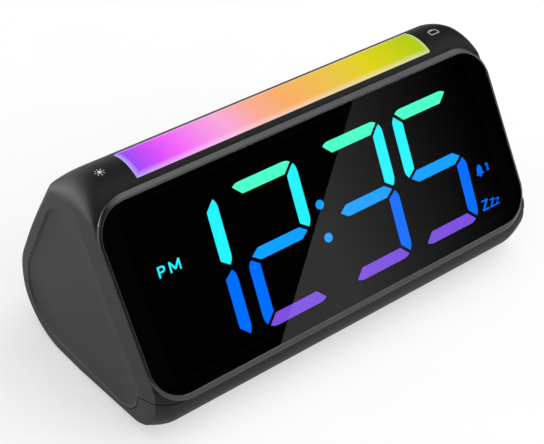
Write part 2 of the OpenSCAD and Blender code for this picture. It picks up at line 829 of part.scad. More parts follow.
// Rear controls
module key(i) {
    at_rear() translate([key_x(i), key_y]) {
        layer(-wall - seat_gap - fit, key_rise) pill(key_w, key_h);
        layer(-wall - seat_gap - key_lip_t, -wall - seat_gap) pill(key_w + 2 * key_lip, key_h + 2 * key_lip);
        layer(-key_post_end, -wall - seat_gap - key_lip_t) circle(key_post_r);
    }
}

module stem(i) {
    at_rear() translate([key_x(i), key_y]) layer(-key_post_end - stem_len, -key_post_end) circle(key_post_r);
}

module set_key() color([0.13, 0.13, 0.14]) key(0);
module down_key() color([0.13, 0.13, 0.14]) key(1);
module up_key() color([0.13, 0.13, 0.14]) key(2);
module alarm_one_key() color([0.13, 0.13, 0.14]) key(3);
module alarm_two_key() color([0.13, 0.13, 0.14]) key(4);
module set_stem() color([0.2, 0.2, 0.2]) stem(0);
module down_stem() color([0.2, 0.2, 0.2]) stem(1);
module up_stem() color([0.2, 0.2, 0.2]) stem(2);
module alarm_one_stem() color([0.2, 0.2, 0.2]) stem(3);
module alarm_two_stem() color([0.2, 0.2, 0.2]) stem(4);

module key_switches() color(metal_colour) at_rear()
    for (i = [0 : key_names - 1])
        translate([key_x(i), key_y]) difference() {
            layer(-rear_board_z, -switch_face) square(switch_w, center = true);
            layer(-key_post_end - stem_len - key_travel - fit, 0) circle(key_post_r + stem_gap);
        }

module rear_board() color(board_colour) at_rear() difference() {
    translate([rear_board_x, rear_board_y])
        layer(-rear_board_z - board_t, -rear_board_z) square([rear_board_w, rear_board_h], center = true);
    at_rear_posts() layer(-2 * rear_board_z, 0) circle(small_screw_r + screw_gap);
    translate([speaker_x, speaker_y]) layer(-2 * rear_board_z, 0) circle(magnet_r + 2);
}

module rear_board_screws() color(metal_colour) at_rear() at_rear_posts()
    translate([0, 0, -rear_board_z - board_t]) rotate([180, 0, 0]) pan_screw(small_screw_r, small_screw_len);

module power_inlet() color(metal_colour) at_rear() translate([inlet_x, inlet_y]) difference() {
    layer(-rear_board_z, -inlet_depth) pill(inlet_w, inlet_h);
    layer(-rear_board_z + 1, 1) pill(inlet_w - 2 * inlet_skin, inlet_h - 2 * inlet_skin);
}

module inlet_tongue() color([0.1, 0.1, 0.1]) at_rear() translate([inlet_x, inlet_y])
    layer(-rear_board_z + 1, -inlet_depth - 1) square([6.7, 0.7], center = true);

// Loudspeaker
module speaker_gasket() color([0.15, 0.15, 0.15]) at_rear() translate([speaker_x, speaker_y])
    layer(-wall - gasket_t, -wall) difference() {
        circle(speaker_r - fit);
        circle(speaker_r - 2.2);
    }

module speaker_basket() color(metal_colour) at_rear() translate([speaker_x, speaker_y]) difference() {
    layer(-wall - gasket_t - basket_t, -wall - gasket_t) circle(speaker_r - fit);
    layer(-wall - gasket_t - basket_t + 0.6, 0) circle(speaker_r - 1);
}

module speaker_cone() color([0.1, 0.1, 0.1]) at_rear()
    translate([speaker_x, speaker_y, -wall - gasket_t - basket_t + 0.6 + fit])
        rotate_extrude() polygon([[0, 0.8], [4, 0.8], [11.2, 1.9], [speaker_r - 1.2, 1.9],
            [speaker_r - 1.2, 1.5], [11.2, 1.5], [4, 0.4], [0, 0.4]]);

module speaker_magnet() color([0.3, 0.3, 0.32]) at_rear() translate([speaker_x, speaker_y])
    layer(-wall - gasket_t - basket_t - magnet_t, -wall - gasket_t - basket_t) circle(magnet_r);

// Boards and pieces on the floor of the base cover
module main_board() color(board_colour) at_floor() difference() {
    translate([0, 0, main_board_h + board_t / 2]) cube([main_board_w, main_board_d, board_t], center = true);
    for (x = [-1, 1], y = [-1, 1])
        translate([x * main_post_x, y * main_post_y]) layer(0, 2 * main_board_h) circle(screw_r + screw_gap);
}

module main_board_screws() color(metal_colour) at_floor()
    for (x = [-1, 1], y = [-1, 1])
        translate([x * main_post_x, y * main_post_y, main_board_h + board_t]) pan_screw(screw_r, small_screw_len);

processor_w = 10;
processor_t = 1.4;
capacitor_r = 3;
capacitor_h = 7;

module processor() color([0.08, 0.08, 0.09]) at_floor()
    translate([8, 4, main_board_h + board_t + processor_t / 2]) {
        cube([processor_w, processor_w, processor_t], center = true);
        for (s = [-1, 1], i = [-3 : 3])
            translate([s * (processor_w / 2 + 0.5), i * 1.2, -processor_t / 4]) cube([1.2, 0.5, processor_t / 2], center = true);
    }

module capacitors() color([0.2, 0.2, 0.45]) at_floor()
    for (x = [24, 33])
        translate([x, -6, main_board_h + board_t]) cylinder(h = capacitor_h, r = capacitor_r);

cell_top = main_board_h - 0.7;

module cell_holder() color(metal_colour) at_floor() translate([cover_x, 0]) difference() {
    layer(cell_top - cell_t / 2, main_board_h) circle(cell_r + 1);
    layer(0, cell_top + fit) circle(cell_r + fit);
    layer(0, cell_top + fit) translate([0, -reach / 2]) square([reach / 16, reach / 2 + cell_r / 2], center = true);
}

module coin_cell() color(metal_colour) at_floor() translate([cover_x, 0]) {
    layer(cell_top - cell_t + 0.3, cell_top) circle(cell_r);
    layer(cell_top - cell_t, cell_top - cell_t + 0.3) circle(cell_r - 1.2);
}

// Cover that is turned with a coin: its lugs pass under the ledge of the base cover
module cell_cover() color(shell_colour) at_floor() translate([cover_x, 0]) difference() {
    union() {
        layer(-wall, cover_t - wall) circle(cover_r);
        layer(-wall, ledge_t + fit + lug_t) circle(cover_neck_r);
        layer(ledge_t + fit, ledge_t + fit + lug_t) lug_bar(0);
    }
    layer(-2 * wall, coin_slot_t - wall) pill(coin_slot_len, coin_slot_w);
    layer(cover_t - wall + 0.3, 2 * main_board_h) circle(cover_neck_r - 1.4);
}

// Flat cable along points of the section, at one place across the width
module ribbon(x, w, t, points) {
    translate([x, 0, 0]) along_x(w)
        for (i = [0 : len(points) - 2])
            bar(points[i], points[i + 1], t);
}

ribbon_t = 0.4;
ribbon_gap = ribbon_t / 2 + 0.15;
board_top_z = floor_z + main_board_h + board_t + ribbon_gap;
function lens_point(u, n) = dir(front_up_a) * (lens_mid_u + u) + dir(front_a) * (lens_d - n);
function rear_point(y, z) = rear_mid + dir(rear_up_a) * y + dir(rear_a) * z;
function bar_point(t, h) = apex_c + dir(bar_a) * h - dir(bar_a - 90) * t;

display_tail_u = -20;
display_tail_n = display_board_n + board_t + ribbon_gap;

module display_ribbon() color([0.85, 0.85, 0.8])
    ribbon(main_board_w * 0.2, 16, ribbon_t, [lens_point(display_tail_u + 5, display_tail_n), lens_point(display_tail_u, display_tail_n),
        lens_point(display_tail_u - 3, display_tail_n + 3), [floor_mid_y - main_board_d / 2 + 3, board_top_z],
        [floor_mid_y - main_board_d / 2 + 7, board_top_z]]);

lamp_tail_h = lamp_board_h - ribbon_gap;

module lamp_ribbon() color([0.85, 0.85, 0.8])
    ribbon(-main_board_w * 0.39, 8, ribbon_t, [bar_point(3, lamp_tail_h), bar_point(-3, lamp_tail_h),
        [floor_mid_y + 2, board_top_z + ribbon_t]]);

rear_tail_z = -rear_board_z - board_t - ribbon_gap;

module key_ribbon() color([0.85, 0.85, 0.8])
    ribbon(-main_board_w * 0.04, 12, ribbon_t, [rear_point(-8, rear_tail_z), rear_point(-14, rear_tail_z), rear_point(-15, rear_tail_z - 5),
        [floor_mid_y + main_board_d / 2 - 6, board_top_z], [floor_mid_y + main_board_d / 2 - 10, board_top_z]]);

lead_t = 1;
speaker_tail_z = -wall - gasket_t - basket_t - lead_t / 2 - 0.3;

module speaker_lead() color([0.6, 0.1, 0.1])
    ribbon(-speaker_x + 10, 2 * lead_t, lead_t, [rear_point(speaker_y - 9, speaker_tail_z),
        rear_point(speaker_y - 6, speaker_tail_z - 8),
        [floor_mid_y + 12, board_top_z + 6], [floor_mid_y + 12, board_top_z + lead_t / 2]]);

module housing_screws() color(metal_colour) at_floor()
    for (x = [-1, 1], y = [-1, 1])
        translate([x * housing_post_x, y * housing_post_y, base_post_h - wall]) {
            rotate([180, 0, 0]) difference() {
                cylinder(h = screw_head_t, r = screw_head_r);
                translate([0, 0, screw_head_t]) cube([3, 0.6, 1], center = true);
                translate([0, 0, screw_head_t]) cube([0.6, 3, 1], center = true);
            }
            cylinder(h = screw_len - 1, r = screw_r);
        }

module feet() color([0.12, 0.12, 0.12])
    for (x = [-1, 1], y = [-1, 1])
        translate([x * foot_x, floor_mid_y + y * foot_y, 0]) cylinder(h = foot_t, r = foot_r);

upper_housing();
base_cover();
lens_bezel();
display_lens();
light_box();
segments_top();
segments_upper();
segments_middle();
segments_lower();
segments_bottom();
segments_unlit();
afternoon_mark();
alarm_marks();
display_board();
display_leds();
display_board_screws();
light_bar();
snooze_stems();
snooze_switches();
lamp_board();
lamps();
touch_pads();
set_key();
up_key();
down_key();
alarm_one_key();
alarm_two_key();
set_stem();
up_stem();
down_stem();
alarm_one_stem();
alarm_two_stem();
key_switches();
rear_board();
rear_board_screws();
power_inlet();
inlet_tongue();
speaker_gasket();
speaker_basket();
speaker_cone();
speaker_magnet();
main_board();
main_board_screws();
processor();
capacitors();
cell_holder();
coin_cell();
cell_cover();
display_ribbon();
lamp_ribbon();
key_ribbon();
speaker_lead();
housing_screws();
feet();
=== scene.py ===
import math

import bmesh
import bpy
import numpy as np
from mathutils import Matrix, Vector


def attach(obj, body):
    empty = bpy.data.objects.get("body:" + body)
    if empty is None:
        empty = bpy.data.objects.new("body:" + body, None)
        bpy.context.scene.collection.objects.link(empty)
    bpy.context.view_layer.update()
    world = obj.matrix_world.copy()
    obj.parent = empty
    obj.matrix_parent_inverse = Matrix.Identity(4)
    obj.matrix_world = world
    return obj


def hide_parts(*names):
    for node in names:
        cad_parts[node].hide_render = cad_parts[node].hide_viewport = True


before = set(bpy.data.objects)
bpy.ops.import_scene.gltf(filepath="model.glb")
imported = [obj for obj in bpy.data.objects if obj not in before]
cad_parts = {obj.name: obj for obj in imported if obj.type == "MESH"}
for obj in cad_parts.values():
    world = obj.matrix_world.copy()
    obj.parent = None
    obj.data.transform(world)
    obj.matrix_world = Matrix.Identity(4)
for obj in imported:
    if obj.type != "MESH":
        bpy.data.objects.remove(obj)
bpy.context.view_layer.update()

# Lengths are in millimetres here and become metres when a mesh is made. Angles are in degrees.
MM = 0.001
# Section of the body: the way that each face looks, its distance from the origin, and the corner radii
HALF_W = 76.8
FRONT_A, REAR_A, FLOOR_A = 150.0, 30.0, 270.0
FRONT_D, REAR_D, FLOOR_D = 41.415, 46.585, -0.8
APEX_R, FRONT_R, REAR_R = 14.0, 13.6, 20.0
WALL = 2.2
# Dish in each end: inset from each face, depth, corner radii, and the widths of its wall and its slope
DISH_FRONT, DISH_REAR, DISH_FLOOR, DISH_DEPTH = 8.4, 4.2, 3.6, 1.0
DISH_APEX_R, DISH_FRONT_R, DISH_REAR_R = 13.4, 11.5, 17.0
DISH_WALL_W, DISH_SLOPE_W = 1.2, 9.0
# Lens and bezel: place of the lens on the front, and outer sizes
LENS_MID_U, LENS_D = 26.31, 42.365
LENS_W, LENS_H, LENS_R, LENS_GAP = 151.4, 59.8, 10.5, 0.05
BEZEL_W, BEZEL_H, BEZEL_R = 153.5, 63.9, 12.55
# Light bar: the way that it looks from the apex, half its length and width, and the gap around it
BAR_A, BAR_HALF, BAR_HALF_W, BAR_GAP = 95.5, 57.5, 6.15, 0.2
# Seam between the shells: half its width, its place below the bezel, its slopes at the front and rear, where it
# meets the dish, and its rise near the ends
SEAM, SEAM_BELOW, SEAM_SLOPE, REAR_SEAM_A = 0.16, 0.3, -16.0, 352.0
SEAM_ON_DISH, SEAM_RISE, SEAM_REACH = 185.0, 11.8, 6.9
# Ends: how far the nose draws in along the length, the rounding of the rim, and how the rim leans away
NOSE_REACH = 7.3
RIM_POWER, EDGE_GAIN, REACH_GAIN = 2.6, 1.08, 1.15
FRONT_LEAN, REAR_LEAN, REAR_LEAN_W = 0.5, 0.8, 10.0
REAR_LEAN_TOP, REAR_LEAN_FADE = 45.0, 25.0
# Rear panel: keys, power inlet and grille, from its middle
KEY_PITCH, KEY_Y, KEY_W, KEY_H, KEY_GAP = 14.0, 8.0, 9.0, 4.6, 0.2
INLET_AT, INLET_W, INLET_H = (-52, -10), 9.3, 3.6
GRILLE_X, GRILLE_Y, GRILLE_PITCH, GRILLE_R, GRILLE_RINGS = 52, -2, 3.4, 0.8, 3
# Underside: cell cover, screws and feet, from its middle
CELL_X, CELL_R = -20, 12.15
SCREW_X, SCREW_Y, SCREW_R = 65.8, 16, 2.5
FOOT_X, FOOT_Y = 50.8, 15


def unit(deg):
    return np.array([math.cos(math.radians(deg)), math.sin(math.radians(deg))])


def meet(a1, d1, a2, d2):
    """Point where two lines of the section cross."""
    return np.linalg.solve(np.array([unit(a1), unit(a2)]), np.array([d1, d2]))


def corners(front, rear, floor, ra, rf, rr):
    """Centres of the rounded corners at the apex, front and rear."""
    return (meet(FRONT_A, front - ra, REAR_A, rear - ra), meet(FRONT_A, front - rf, FLOOR_A, floor - rf),
            meet(REAR_A, rear - rr, FLOOR_A, floor - rr))


APEX_C, FRONT_C, REAR_C = corners(FRONT_D, REAR_D, FLOOR_D, APEX_R, FRONT_R, REAR_R)
DISH_APEX, DISH_NOSE, DISH_HEEL = corners(FRONT_D - DISH_FRONT, REAR_D - DISH_REAR, FLOOR_D - DISH_FLOOR,
                                          DISH_APEX_R, DISH_FRONT_R, DISH_REAR_R)


def basis(origin, x, y, z):
    m = Matrix.Identity(4)
    for i, axis in enumerate((x, y, z)):
        for j in range(3):
            m[j][i] = axis[j]
    for j in range(3):
        m[j][3] = origin[j]
    return m


def section_point(p):
    return (0.0, p[0], p[1])


# Frames of the lens, the rear panel and the underside
FRONT_UP, FRONT_OUT = unit(FRONT_A - 90), unit(FRONT_A)
LENS_C = FRONT_UP * LENS_MID_U + FRONT_OUT * LENS_D
AT_LENS = basis(section_point(LENS_C), (1, 0, 0), section_point(FRONT_UP), section_point(FRONT_OUT))
REAR_MID = (APEX_C + APEX_R * unit(REAR_A) + REAR_C + REAR_R * unit(REAR_A)) / 2
AT_REAR = basis(section_point(REAR_MID), (-1, 0, 0), section_point(unit(REAR_A + 90)), section_point(unit(REAR_A)))
FLOOR_Y = (FRONT_C[0] + REAR_C[0]) / 2
AT_BASE = basis((0, FLOOR_Y, -FLOOR_D), (1, 0, 0), (0, 1, 0), (0, 0, 1))


# Meshes
def mesh_piece(name, verts, faces, matrix=None, sharp=35.0):
    """Object from points in millimetres; faces with more than four corners stay flat."""
    pts = [Vector(v) for v in verts]
    if matrix is not None:
        pts = [matrix @ p for p in pts]
    mesh = bpy.data.meshes.new(name)
    mesh.from_pydata([p * MM for p in pts], [], faces)
    mesh.validate()
    bm = bmesh.new()
    bm.from_mesh(mesh)
    bmesh.ops.recalc_face_normals(bm, faces=bm.faces)
    bm.to_mesh(mesh)
    bm.free()
    mesh.shade_smooth()
    mesh.set_sharp_from_angle(angle=math.radians(sharp))
    for face in mesh.polygons:
        face.use_smooth = len(face.vertices) <= 4
    piece = bpy.data.objects.new(name, mesh)
    bpy.context.scene.collection.objects.link(piece)
    return piece


def loft(rings, close_start=True, close_end=True):
    """Skin over rings of points, all with the same count."""
    n = len(rings[0])
    verts = [tuple(p) for ring in rings for p in ring]
    faces = []
    for r in range(len(rings) - 1):
        for k in range(n):
            j = (k + 1) % n
            faces.append((r * n + k, r * n + j, (r + 1) * n + j, (r + 1) * n + k))
    if close_start:
        faces.append(tuple(range(n)))
    if close_end:
        faces.append(tuple(range((len(rings) - 1) * n, len(rings) * n)))
    return verts, faces


def flat(outline, z):
    return [(p[0], p[1], z) for p in outline]


def box_outline(w, h, r, arc=14, long=1, short=1):
    """Rounded rectangle; long and short are the numbers of parts in its straight sides."""
    x, y = w / 2 - r, h / 2 - r
    pts = []
    for cx, cy, a0, count, side in ((x, y, 0, long, (-2 * x, 0)), (-x, y, 90, short, (0, -2 * y)),
                                    (-x, -y, 180, long, (2 * x, 0)), (x, -y, 270, short, (0, 2 * y))):
        centre = np.array([cx, cy])
        pts += [centre + r * unit(a0 + 90 * i / arc) for i in range(arc + 1)]
        pts += [centre + r * unit(a0 + 90) + np.array(side) * i / count for i in range(1, count)]
    return np.array(pts)


def circle_outline(r, count=48, centre=(0, 0)):
    return np.array([np.array(centre) + r * unit(360 * i / count) for i in range(count)])


def filled(outlines):
    """Triangles that fill the first outline and leave out the others."""
    curve = bpy.data.curves.new("fill", "CURVE")
    curve.dimensions = "2D"
    curve.fill_mode = "BOTH"
    for outline in outlines:
        spline = curve.splines.new("POLY")
        spline.points.add(len(outline) - 1)
        for point, p in zip(spline.points, outline):
            point.co = (p[0], p[1], 0, 1)
        spline.use_cyclic_u = True
    holder = bpy.data.objects.new("fill", curve)
    bpy.context.scene.collection.objects.link(holder)
    bpy.context.view_layer.update()
    mesh = holder.evaluated_get(bpy.context.evaluated_depsgraph_get()).to_mesh()
    verts = [tuple(v.co) for v in mesh.vertices]
    faces = [tuple(p.vertices) for p in mesh.polygons]
    holder.to_mesh_clear()
    bpy.data.objects.remove(holder)
    bpy.data.curves.remove(curve)
    return verts, faces


def plate(outlines, low, high):
    """Flat plate between two heights, with holes."""
    top, cells = filled(outlines)
    verts = [(v[0], v[1], high) for v in top] + [(v[0], v[1], low) for v in top]
    n = len(top)
    faces = list(cells) + [tuple(n + i for i in reversed(c)) for c in cells]
    sides = {}
    for c in cells:
        for a, b in zip(c, c[1:] + c[:1]):
            if (b, a) in sides:
                del sides[(b, a)]
            else:
                sides[(a, b)] = 1
    faces += [(a, b, n + b, n + a) for a, b in sides]
    return verts, faces


def merge(parts):
    verts, faces = [], []
    for v, f in parts:
        base = len(verts)
        verts += list(v)
        faces += [tuple(base + i for i in c) for c in f]
    return verts, faces


# Materials
def links(mat):
    """Empty node tree of a material, with its output node."""
    mat.use_nodes = True
    tree = mat.node_tree
    tree.nodes.clear()
    return tree, tree.nodes.new("ShaderNodeOutputMaterial")


def noise_mix(tree, low, high, scale, detail=3.0):
    """Noise on the object, and a ramp that turns it into colours from low to high."""
    coords = tree.nodes.new("ShaderNodeTexCoord")
    noise = tree.nodes.new("ShaderNodeTexNoise")
    noise.inputs["Scale"].default_value = scale
    noise.inputs["Detail"].default_value = detail
    tree.links.new(coords.outputs["Object"], noise.inputs["Vector"])
    ramp = tree.nodes.new("ShaderNodeValToRGB")
    ramp.color_ramp.elements[0].position = 0.3
    ramp.color_ramp.elements[1].position = 0.7
    ramp.color_ramp.elements[0].color = (*low, 1)
    ramp.color_ramp.elements[1].color = (*high, 1)
    tree.links.new(noise.outputs["Fac"], ramp.inputs["Fac"])
    return noise, ramp


ROUGH_SPREAD, BUMP_HEIGHT = 0.03, 0.0001


def plastic(name, low, high, rough, specular=0.5, metallic=0.0, grain=2600.0, bump=0.05):
    """Finish whose colour, roughness and height all vary with one grain."""
    mat = bpy.data.materials.new(name)
    tree, out = links(mat)
    shader = tree.nodes.new("ShaderNodeBsdfPrincipled")
    shader.inputs["Specular IOR Level"].default_value = specular
    shader.inputs["Metallic"].default_value = metallic
    noise, ramp = noise_mix(tree, low, high, grain)
    tree.links.new(ramp.outputs["Color"], shader.inputs["Base Color"])
    uneven = tree.nodes.new("ShaderNodeMapRange")
    uneven.inputs["To Min"].default_value = rough - ROUGH_SPREAD
    uneven.inputs["To Max"].default_value = rough + ROUGH_SPREAD
    tree.links.new(noise.outputs["Fac"], uneven.inputs["Value"])
    tree.links.new(uneven.outputs["Result"], shader.inputs["Roughness"])
    if bump:
        lift = tree.nodes.new("ShaderNodeBump")
        lift.inputs["Strength"].default_value = bump
        lift.inputs["Distance"].default_value = BUMP_HEIGHT
        tree.links.new(noise.outputs["Fac"], lift.inputs["Height"])
        tree.links.new(lift.outputs["Normal"], shader.inputs["Normal"])
    tree.links.new(shader.outputs["BSDF"], out.inputs["Surface"])
    return mat


def lin(r, g, b):
    """Colour of a screen as linear light."""
    return tuple(c / 12.92 if c <= 0.04045 else ((c + 0.055) / 1.055) ** 2.4
                 for c in (r / 255, g / 255, b / 255))


def glow(name, colour, strength):
    """Evenly lit colour of a display segment."""
    mat = bpy.data.materials.new(name)
    tree, out = links(mat)
    shader = tree.nodes.new("ShaderNodeBsdfPrincipled")
    shader.inputs["Emission Strength"].default_value = strength
    shader.inputs["Roughness"].default_value = 0.6
    shader.inputs["Specular IOR Level"].default_value = 0.0
    low = tuple(0.97 * c for c in colour)
    _, ramp = noise_mix(tree, low, colour, 400.0, 1.0)
    tree.links.new(ramp.outputs["Color"], shader.inputs["Base Color"])
    tree.links.new(ramp.outputs["Color"], shader.inputs["Emission Color"])
    tree.links.new(shader.outputs["BSDF"], out.inputs["Surface"])
    return mat


# Shares of light that pass each side of the lens and its shine, and the strength that makes up for them
LENS_PASS, SHINE_PASS = 0.2, 0.95
GLOW = 1.0 / (LENS_PASS * LENS_PASS * SHINE_PASS)


def maths(tree, kind, a, b=None, clamp=False):
    """Output of a maths node; a and b are numbers or outputs of other nodes."""
    node = tree.nodes.new("ShaderNodeMath")
    node.operation = kind
    node.use_clamp = clamp
    for socket, value in zip(node.inputs, (a, b)):
        if value is None:
            continue
        if isinstance(value, (int, float)):
            socket.default_value = value
        else:
            tree.links.new(value, socket)
    return node.outputs[0]


def lens_material():
    """Smoked lens that shines on its outer side only."""
    mat = bpy.data.materials.new("smoked_lens")
    tree, out = links(mat)
    clear = tree.nodes.new("ShaderNodeBsdfTransparent")
    _, ramp = noise_mix(tree, (LENS_PASS - 0.002,) * 3, (LENS_PASS + 0.002,) * 3, 60.0, 1.0)
    tree.links.new(ramp.outputs["Color"], clear.inputs["Color"])
    gloss = tree.nodes.new("ShaderNodeBsdfGlossy")
    gloss.inputs["Roughness"].default_value = 0.01
    gloss.inputs["Color"].default_value = (1, 1, 1, 1)
    fresnel = tree.nodes.new("ShaderNodeFresnel")
    fresnel.inputs["IOR"].default_value = 1.5
    facing = tree.nodes.new("ShaderNodeNewGeometry")
    mix = tree.nodes.new("ShaderNodeMixShader")
    outer = maths(tree, "SUBTRACT", 1.0, facing.outputs["Backfacing"])
    tree.links.new(maths(tree, "MULTIPLY", fresnel.outputs["Fac"], outer), mix.inputs["Fac"])
    tree.links.new(clear.outputs["BSDF"], mix.inputs[1])
    tree.links.new(gloss.outputs["BSDF"], mix.inputs[2])
    tree.links.new(mix.outputs["Shader"], out.inputs["Surface"])
    return mat


def bar_material():
    """Frosted bar lit from below: colours run along its length, and its edges are paler."""
    mat = bpy.data.materials.new("light_bar_glow")
    tree, out = links(mat)
    coords = tree.nodes.new("ShaderNodeTexCoord")
    split = tree.nodes.new("ShaderNodeSeparateXYZ")
    tree.links.new(coords.outputs["Object"], split.inputs["Vector"])
    x, y, z = (split.outputs[i] for i in range(3))
    along = maths(tree, "ADD", maths(tree, "MULTIPLY", x, 1 / (2 * BAR_HALF * MM)), 0.5)
    ramp = tree.nodes.new("ShaderNodeValToRGB")
    # Place along the bar and screen colour of each stop
    stops = ((0.0, (140, 80, 245)), (0.08, (215, 80, 250)), (0.15, (245, 105, 250)), (0.3, (250, 170, 220)),
             (0.4, (252, 172, 150)), (0.5, (250, 175, 105)), (0.8, (225, 212, 28)), (1.0, (175, 205, 25)))
    while len(ramp.color_ramp.elements) < len(stops):
        ramp.color_ramp.elements.new(0.5)
    for element, (place, colour) in zip(ramp.color_ramp.elements, stops):
        element.position = place
        element.color = (*lin(*colour), 1)
    tree.links.new(along, ramp.inputs["Fac"])
    side = unit(BAR_A - 90)
    from_apex = [maths(tree, "MULTIPLY", maths(tree, "SUBTRACT", value, centre * MM), float(part))
                 for value, centre, part in zip((y, z), APEX_C, side)]
    across = maths(tree, "ADD", *from_apex)

    def past(value, start, width):
        """Rises from 0 to 1 over a width beyond a start, to both sides."""
        out_by = maths(tree, "SUBTRACT", maths(tree, "ABSOLUTE", value), start * MM)
        return maths(tree, "MULTIPLY", out_by, 1 / (width * MM), True)

    near_edge = maths(tree, "MAXIMUM", past(across, 4.6, 1.6), past(x, 55.8, 1.7))
    pale = maths(tree, "MULTIPLY", near_edge, 0.35)
    mix = tree.nodes.new("ShaderNodeMix")
    mix.data_type = "RGBA"
    tree.links.new(pale, mix.inputs["Factor"])
    tree.links.new(ramp.outputs["Color"], mix.inputs[6])
    mix.inputs[7].default_value = (0.95, 0.9, 0.95, 1)
    shader = tree.nodes.new("ShaderNodeEmission")
    shader.inputs["Strength"].default_value = 1.0
    tree.links.new(mix.outputs[2], shader.inputs["Color"])
    tree.links.new(shader.outputs["Emission"], out.inputs["Surface"])
    return mat


SHELL = plastic("shell_black", (0.0038,) * 3, (0.0048,) * 3, 0.55, 0.22)
# Pale metallic finish on the ring's edge rows: a painted highlight along the edges of the bezel
BEZEL_EDGE_HIGHLIGHT = plastic("bezel_edge_highlight", (0.16,) * 3, (0.19,) * 3, 0.4, 0.5, 0.7, grain=120.0, bump=0)
BEZEL = plastic("bezel_grey", (0.06,) * 3, (0.07,) * 3, 0.27, 0.3, 0.93, grain=120.0, bump=0)
MASK = plastic("mask_black", (0.0003,) * 3, (0.0005,) * 3, 0.8, 0.0)
LENS = lens_material()
BAR = bar_material()
MINT = glow("segment_mint", lin(77, 255, 199), GLOW)
CYAN = glow("segment_cyan", lin(38, 240, 250), GLOW)
AZURE = glow("segment_azure", lin(15, 160, 255), GLOW)
BLUE = glow("segment_blue", lin(0, 110, 255), GLOW)
VIOLET = glow("segment_violet", lin(125, 80, 220), GLOW)
KEY = plastic("key_black", (0.018,) * 3, (0.024,) * 3, 0.5, 0.4)
RUBBER = plastic("foot_rubber", (0.012,) * 3, (0.018,) * 3, 0.8, 0.2, bump=0.15)
LEGEND = plastic("legend_grey", (0.42,) * 3, (0.5,) * 3, 0.6, 0.2, bump=0)
SLOT_MATERIALS = {
    "shell_black": SHELL, "bezel_grey": BEZEL, "lens_black": LENS, "mask_black": MASK, "segment_mint": MINT,
    "segment_cyan": CYAN, "segment_azure": AZURE, "segment_blue": BLUE, "segment_violet": VIOLET,
    "light_bar_frost": BAR, "key_black": KEY, "foot_rubber": RUBBER,
    "board_green": plastic("board_green", (0.01, 0.07, 0.03), (0.015, 0.09, 0.04), 0.5),
    "board_white": plastic("board_white", (0.6,) * 3, (0.68,) * 3, 0.5),
    "lamp_white": plastic("lamp_white", (0.7, 0.7, 0.6), (0.8, 0.8, 0.7), 0.3),
    "steel": plastic("steel", (0.5,) * 3, (0.6,) * 3, 0.3, metallic=1.0),
    "screw_steel": plastic("screw_steel", (0.32,) * 3, (0.4,) * 3, 0.35, metallic=1.0),
    "copper": plastic("copper", (0.7, 0.36, 0.2), (0.8, 0.42, 0.24), 0.3, metallic=1.0),
    "chip_black": plastic("chip_black", (0.02,) * 3, (0.03,) * 3, 0.5),
    "capacitor_blue": plastic("capacitor_blue", (0.02, 0.03, 0.12), (0.03, 0.05, 0.18), 0.4),
    "speaker_black": plastic("speaker_black", (0.02,) * 3, (0.035,) * 3, 0.7),
    "magnet_grey": plastic("magnet_grey", (0.2,) * 3, (0.28,) * 3, 0.5, metallic=0.6),
    "ribbon_white": plastic("ribbon_white", (0.6, 0.6, 0.55), (0.7, 0.7, 0.65), 0.5),
    "lead_red": plastic("lead_red", (0.35, 0.02, 0.02), (0.45, 0.03, 0.03), 0.45),
}


def paint(piece, mat):
    piece.data.materials.clear()
    piece.data.materials.append(mat)
    return piece


def add(name, part, mat, nodes, body="housing", matrix=None, sharp=35.0):
    """Visual piece that rides on a body and replaces nodes of the CAD."""
    piece = paint(mesh_piece(name, part[0], part[1], matrix, sharp), mat)
    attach(piece, body)
    for node in nodes:
        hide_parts(node)
    return piece


# The shell is one grid: stations around the section by rows from end to end.
def end_x(p):
    """Half width of the body at points of the section; the rim leans away at the front and at the rear."""
    front = FRONT_LEAN * np.clip(1 - (FRONT_D - p @ unit(FRONT_A)) / DISH_FRONT, 0, 1)
    rear = REAR_LEAN * np.clip(1 - (REAR_D - p @ unit(REAR_A)) / REAR_LEAN_W, 0, 1) ** 1.5
    return HALF_W - front - rear * np.clip((REAR_LEAN_TOP - p[:, 1]) / REAR_LEAN_FADE, 0, 1)


def line_circle(start, way, centre, r):
    """First point of a circle on a line."""
    rel = start - centre
    b = rel @ way
    return start + way * (-b - math.sqrt(b * b - rel @ rel + r * r))


def angle_from(centre, p, turn):
    """Angle of a point about a centre, at or above turn."""
    a = math.degrees(math.atan2(p[1] - centre[1], p[0] - centre[0]))
    return a + 360 if a < turn else a


# The two edges of the seam: their angles on the outline and on the dish
SEAM_WAY = unit(SEAM_SLOPE)
SEAM_UP = unit(SEAM_SLOPE + 90)
SEAM_START = FRONT_UP * (LENS_MID_U - BEZEL_H / 2 - SEAM_BELOW) + FRONT_OUT * FRONT_D
front_marks = []
for shift in (SEAM, -SEAM):
    start = SEAM_START + SEAM_UP * shift
    front_marks.append((angle_from(FRONT_C, line_circle(start, SEAM_WAY, FRONT_C, FRONT_R), 0),
                        SEAM_ON_DISH - math.degrees(shift / DISH_FRONT_R)))
REAR_WAY = unit(REAR_SEAM_A)
rear_marks = []
for shift in (-SEAM, SEAM):
    outside = REAR_C + unit(REAR_SEAM_A + 90) * shift + REAR_WAY * 2 * REAR_R
    on_dish = line_circle(outside, -REAR_WAY, DISH_HEEL, DISH_REAR_R)
    rear_marks.append((REAR_SEAM_A + math.degrees(shift / REAR_R), angle_from(DISH_HEEL, on_dish, 180)))
half_slot_a = math.degrees(math.asin((BAR_HALF_W + BAR_GAP) / APEX_R))
slot_marks = [BAR_A - half_slot_a, BAR_A + half_slot_a]
ARC_COUNT, LEAST_STEP = 61, 1.2


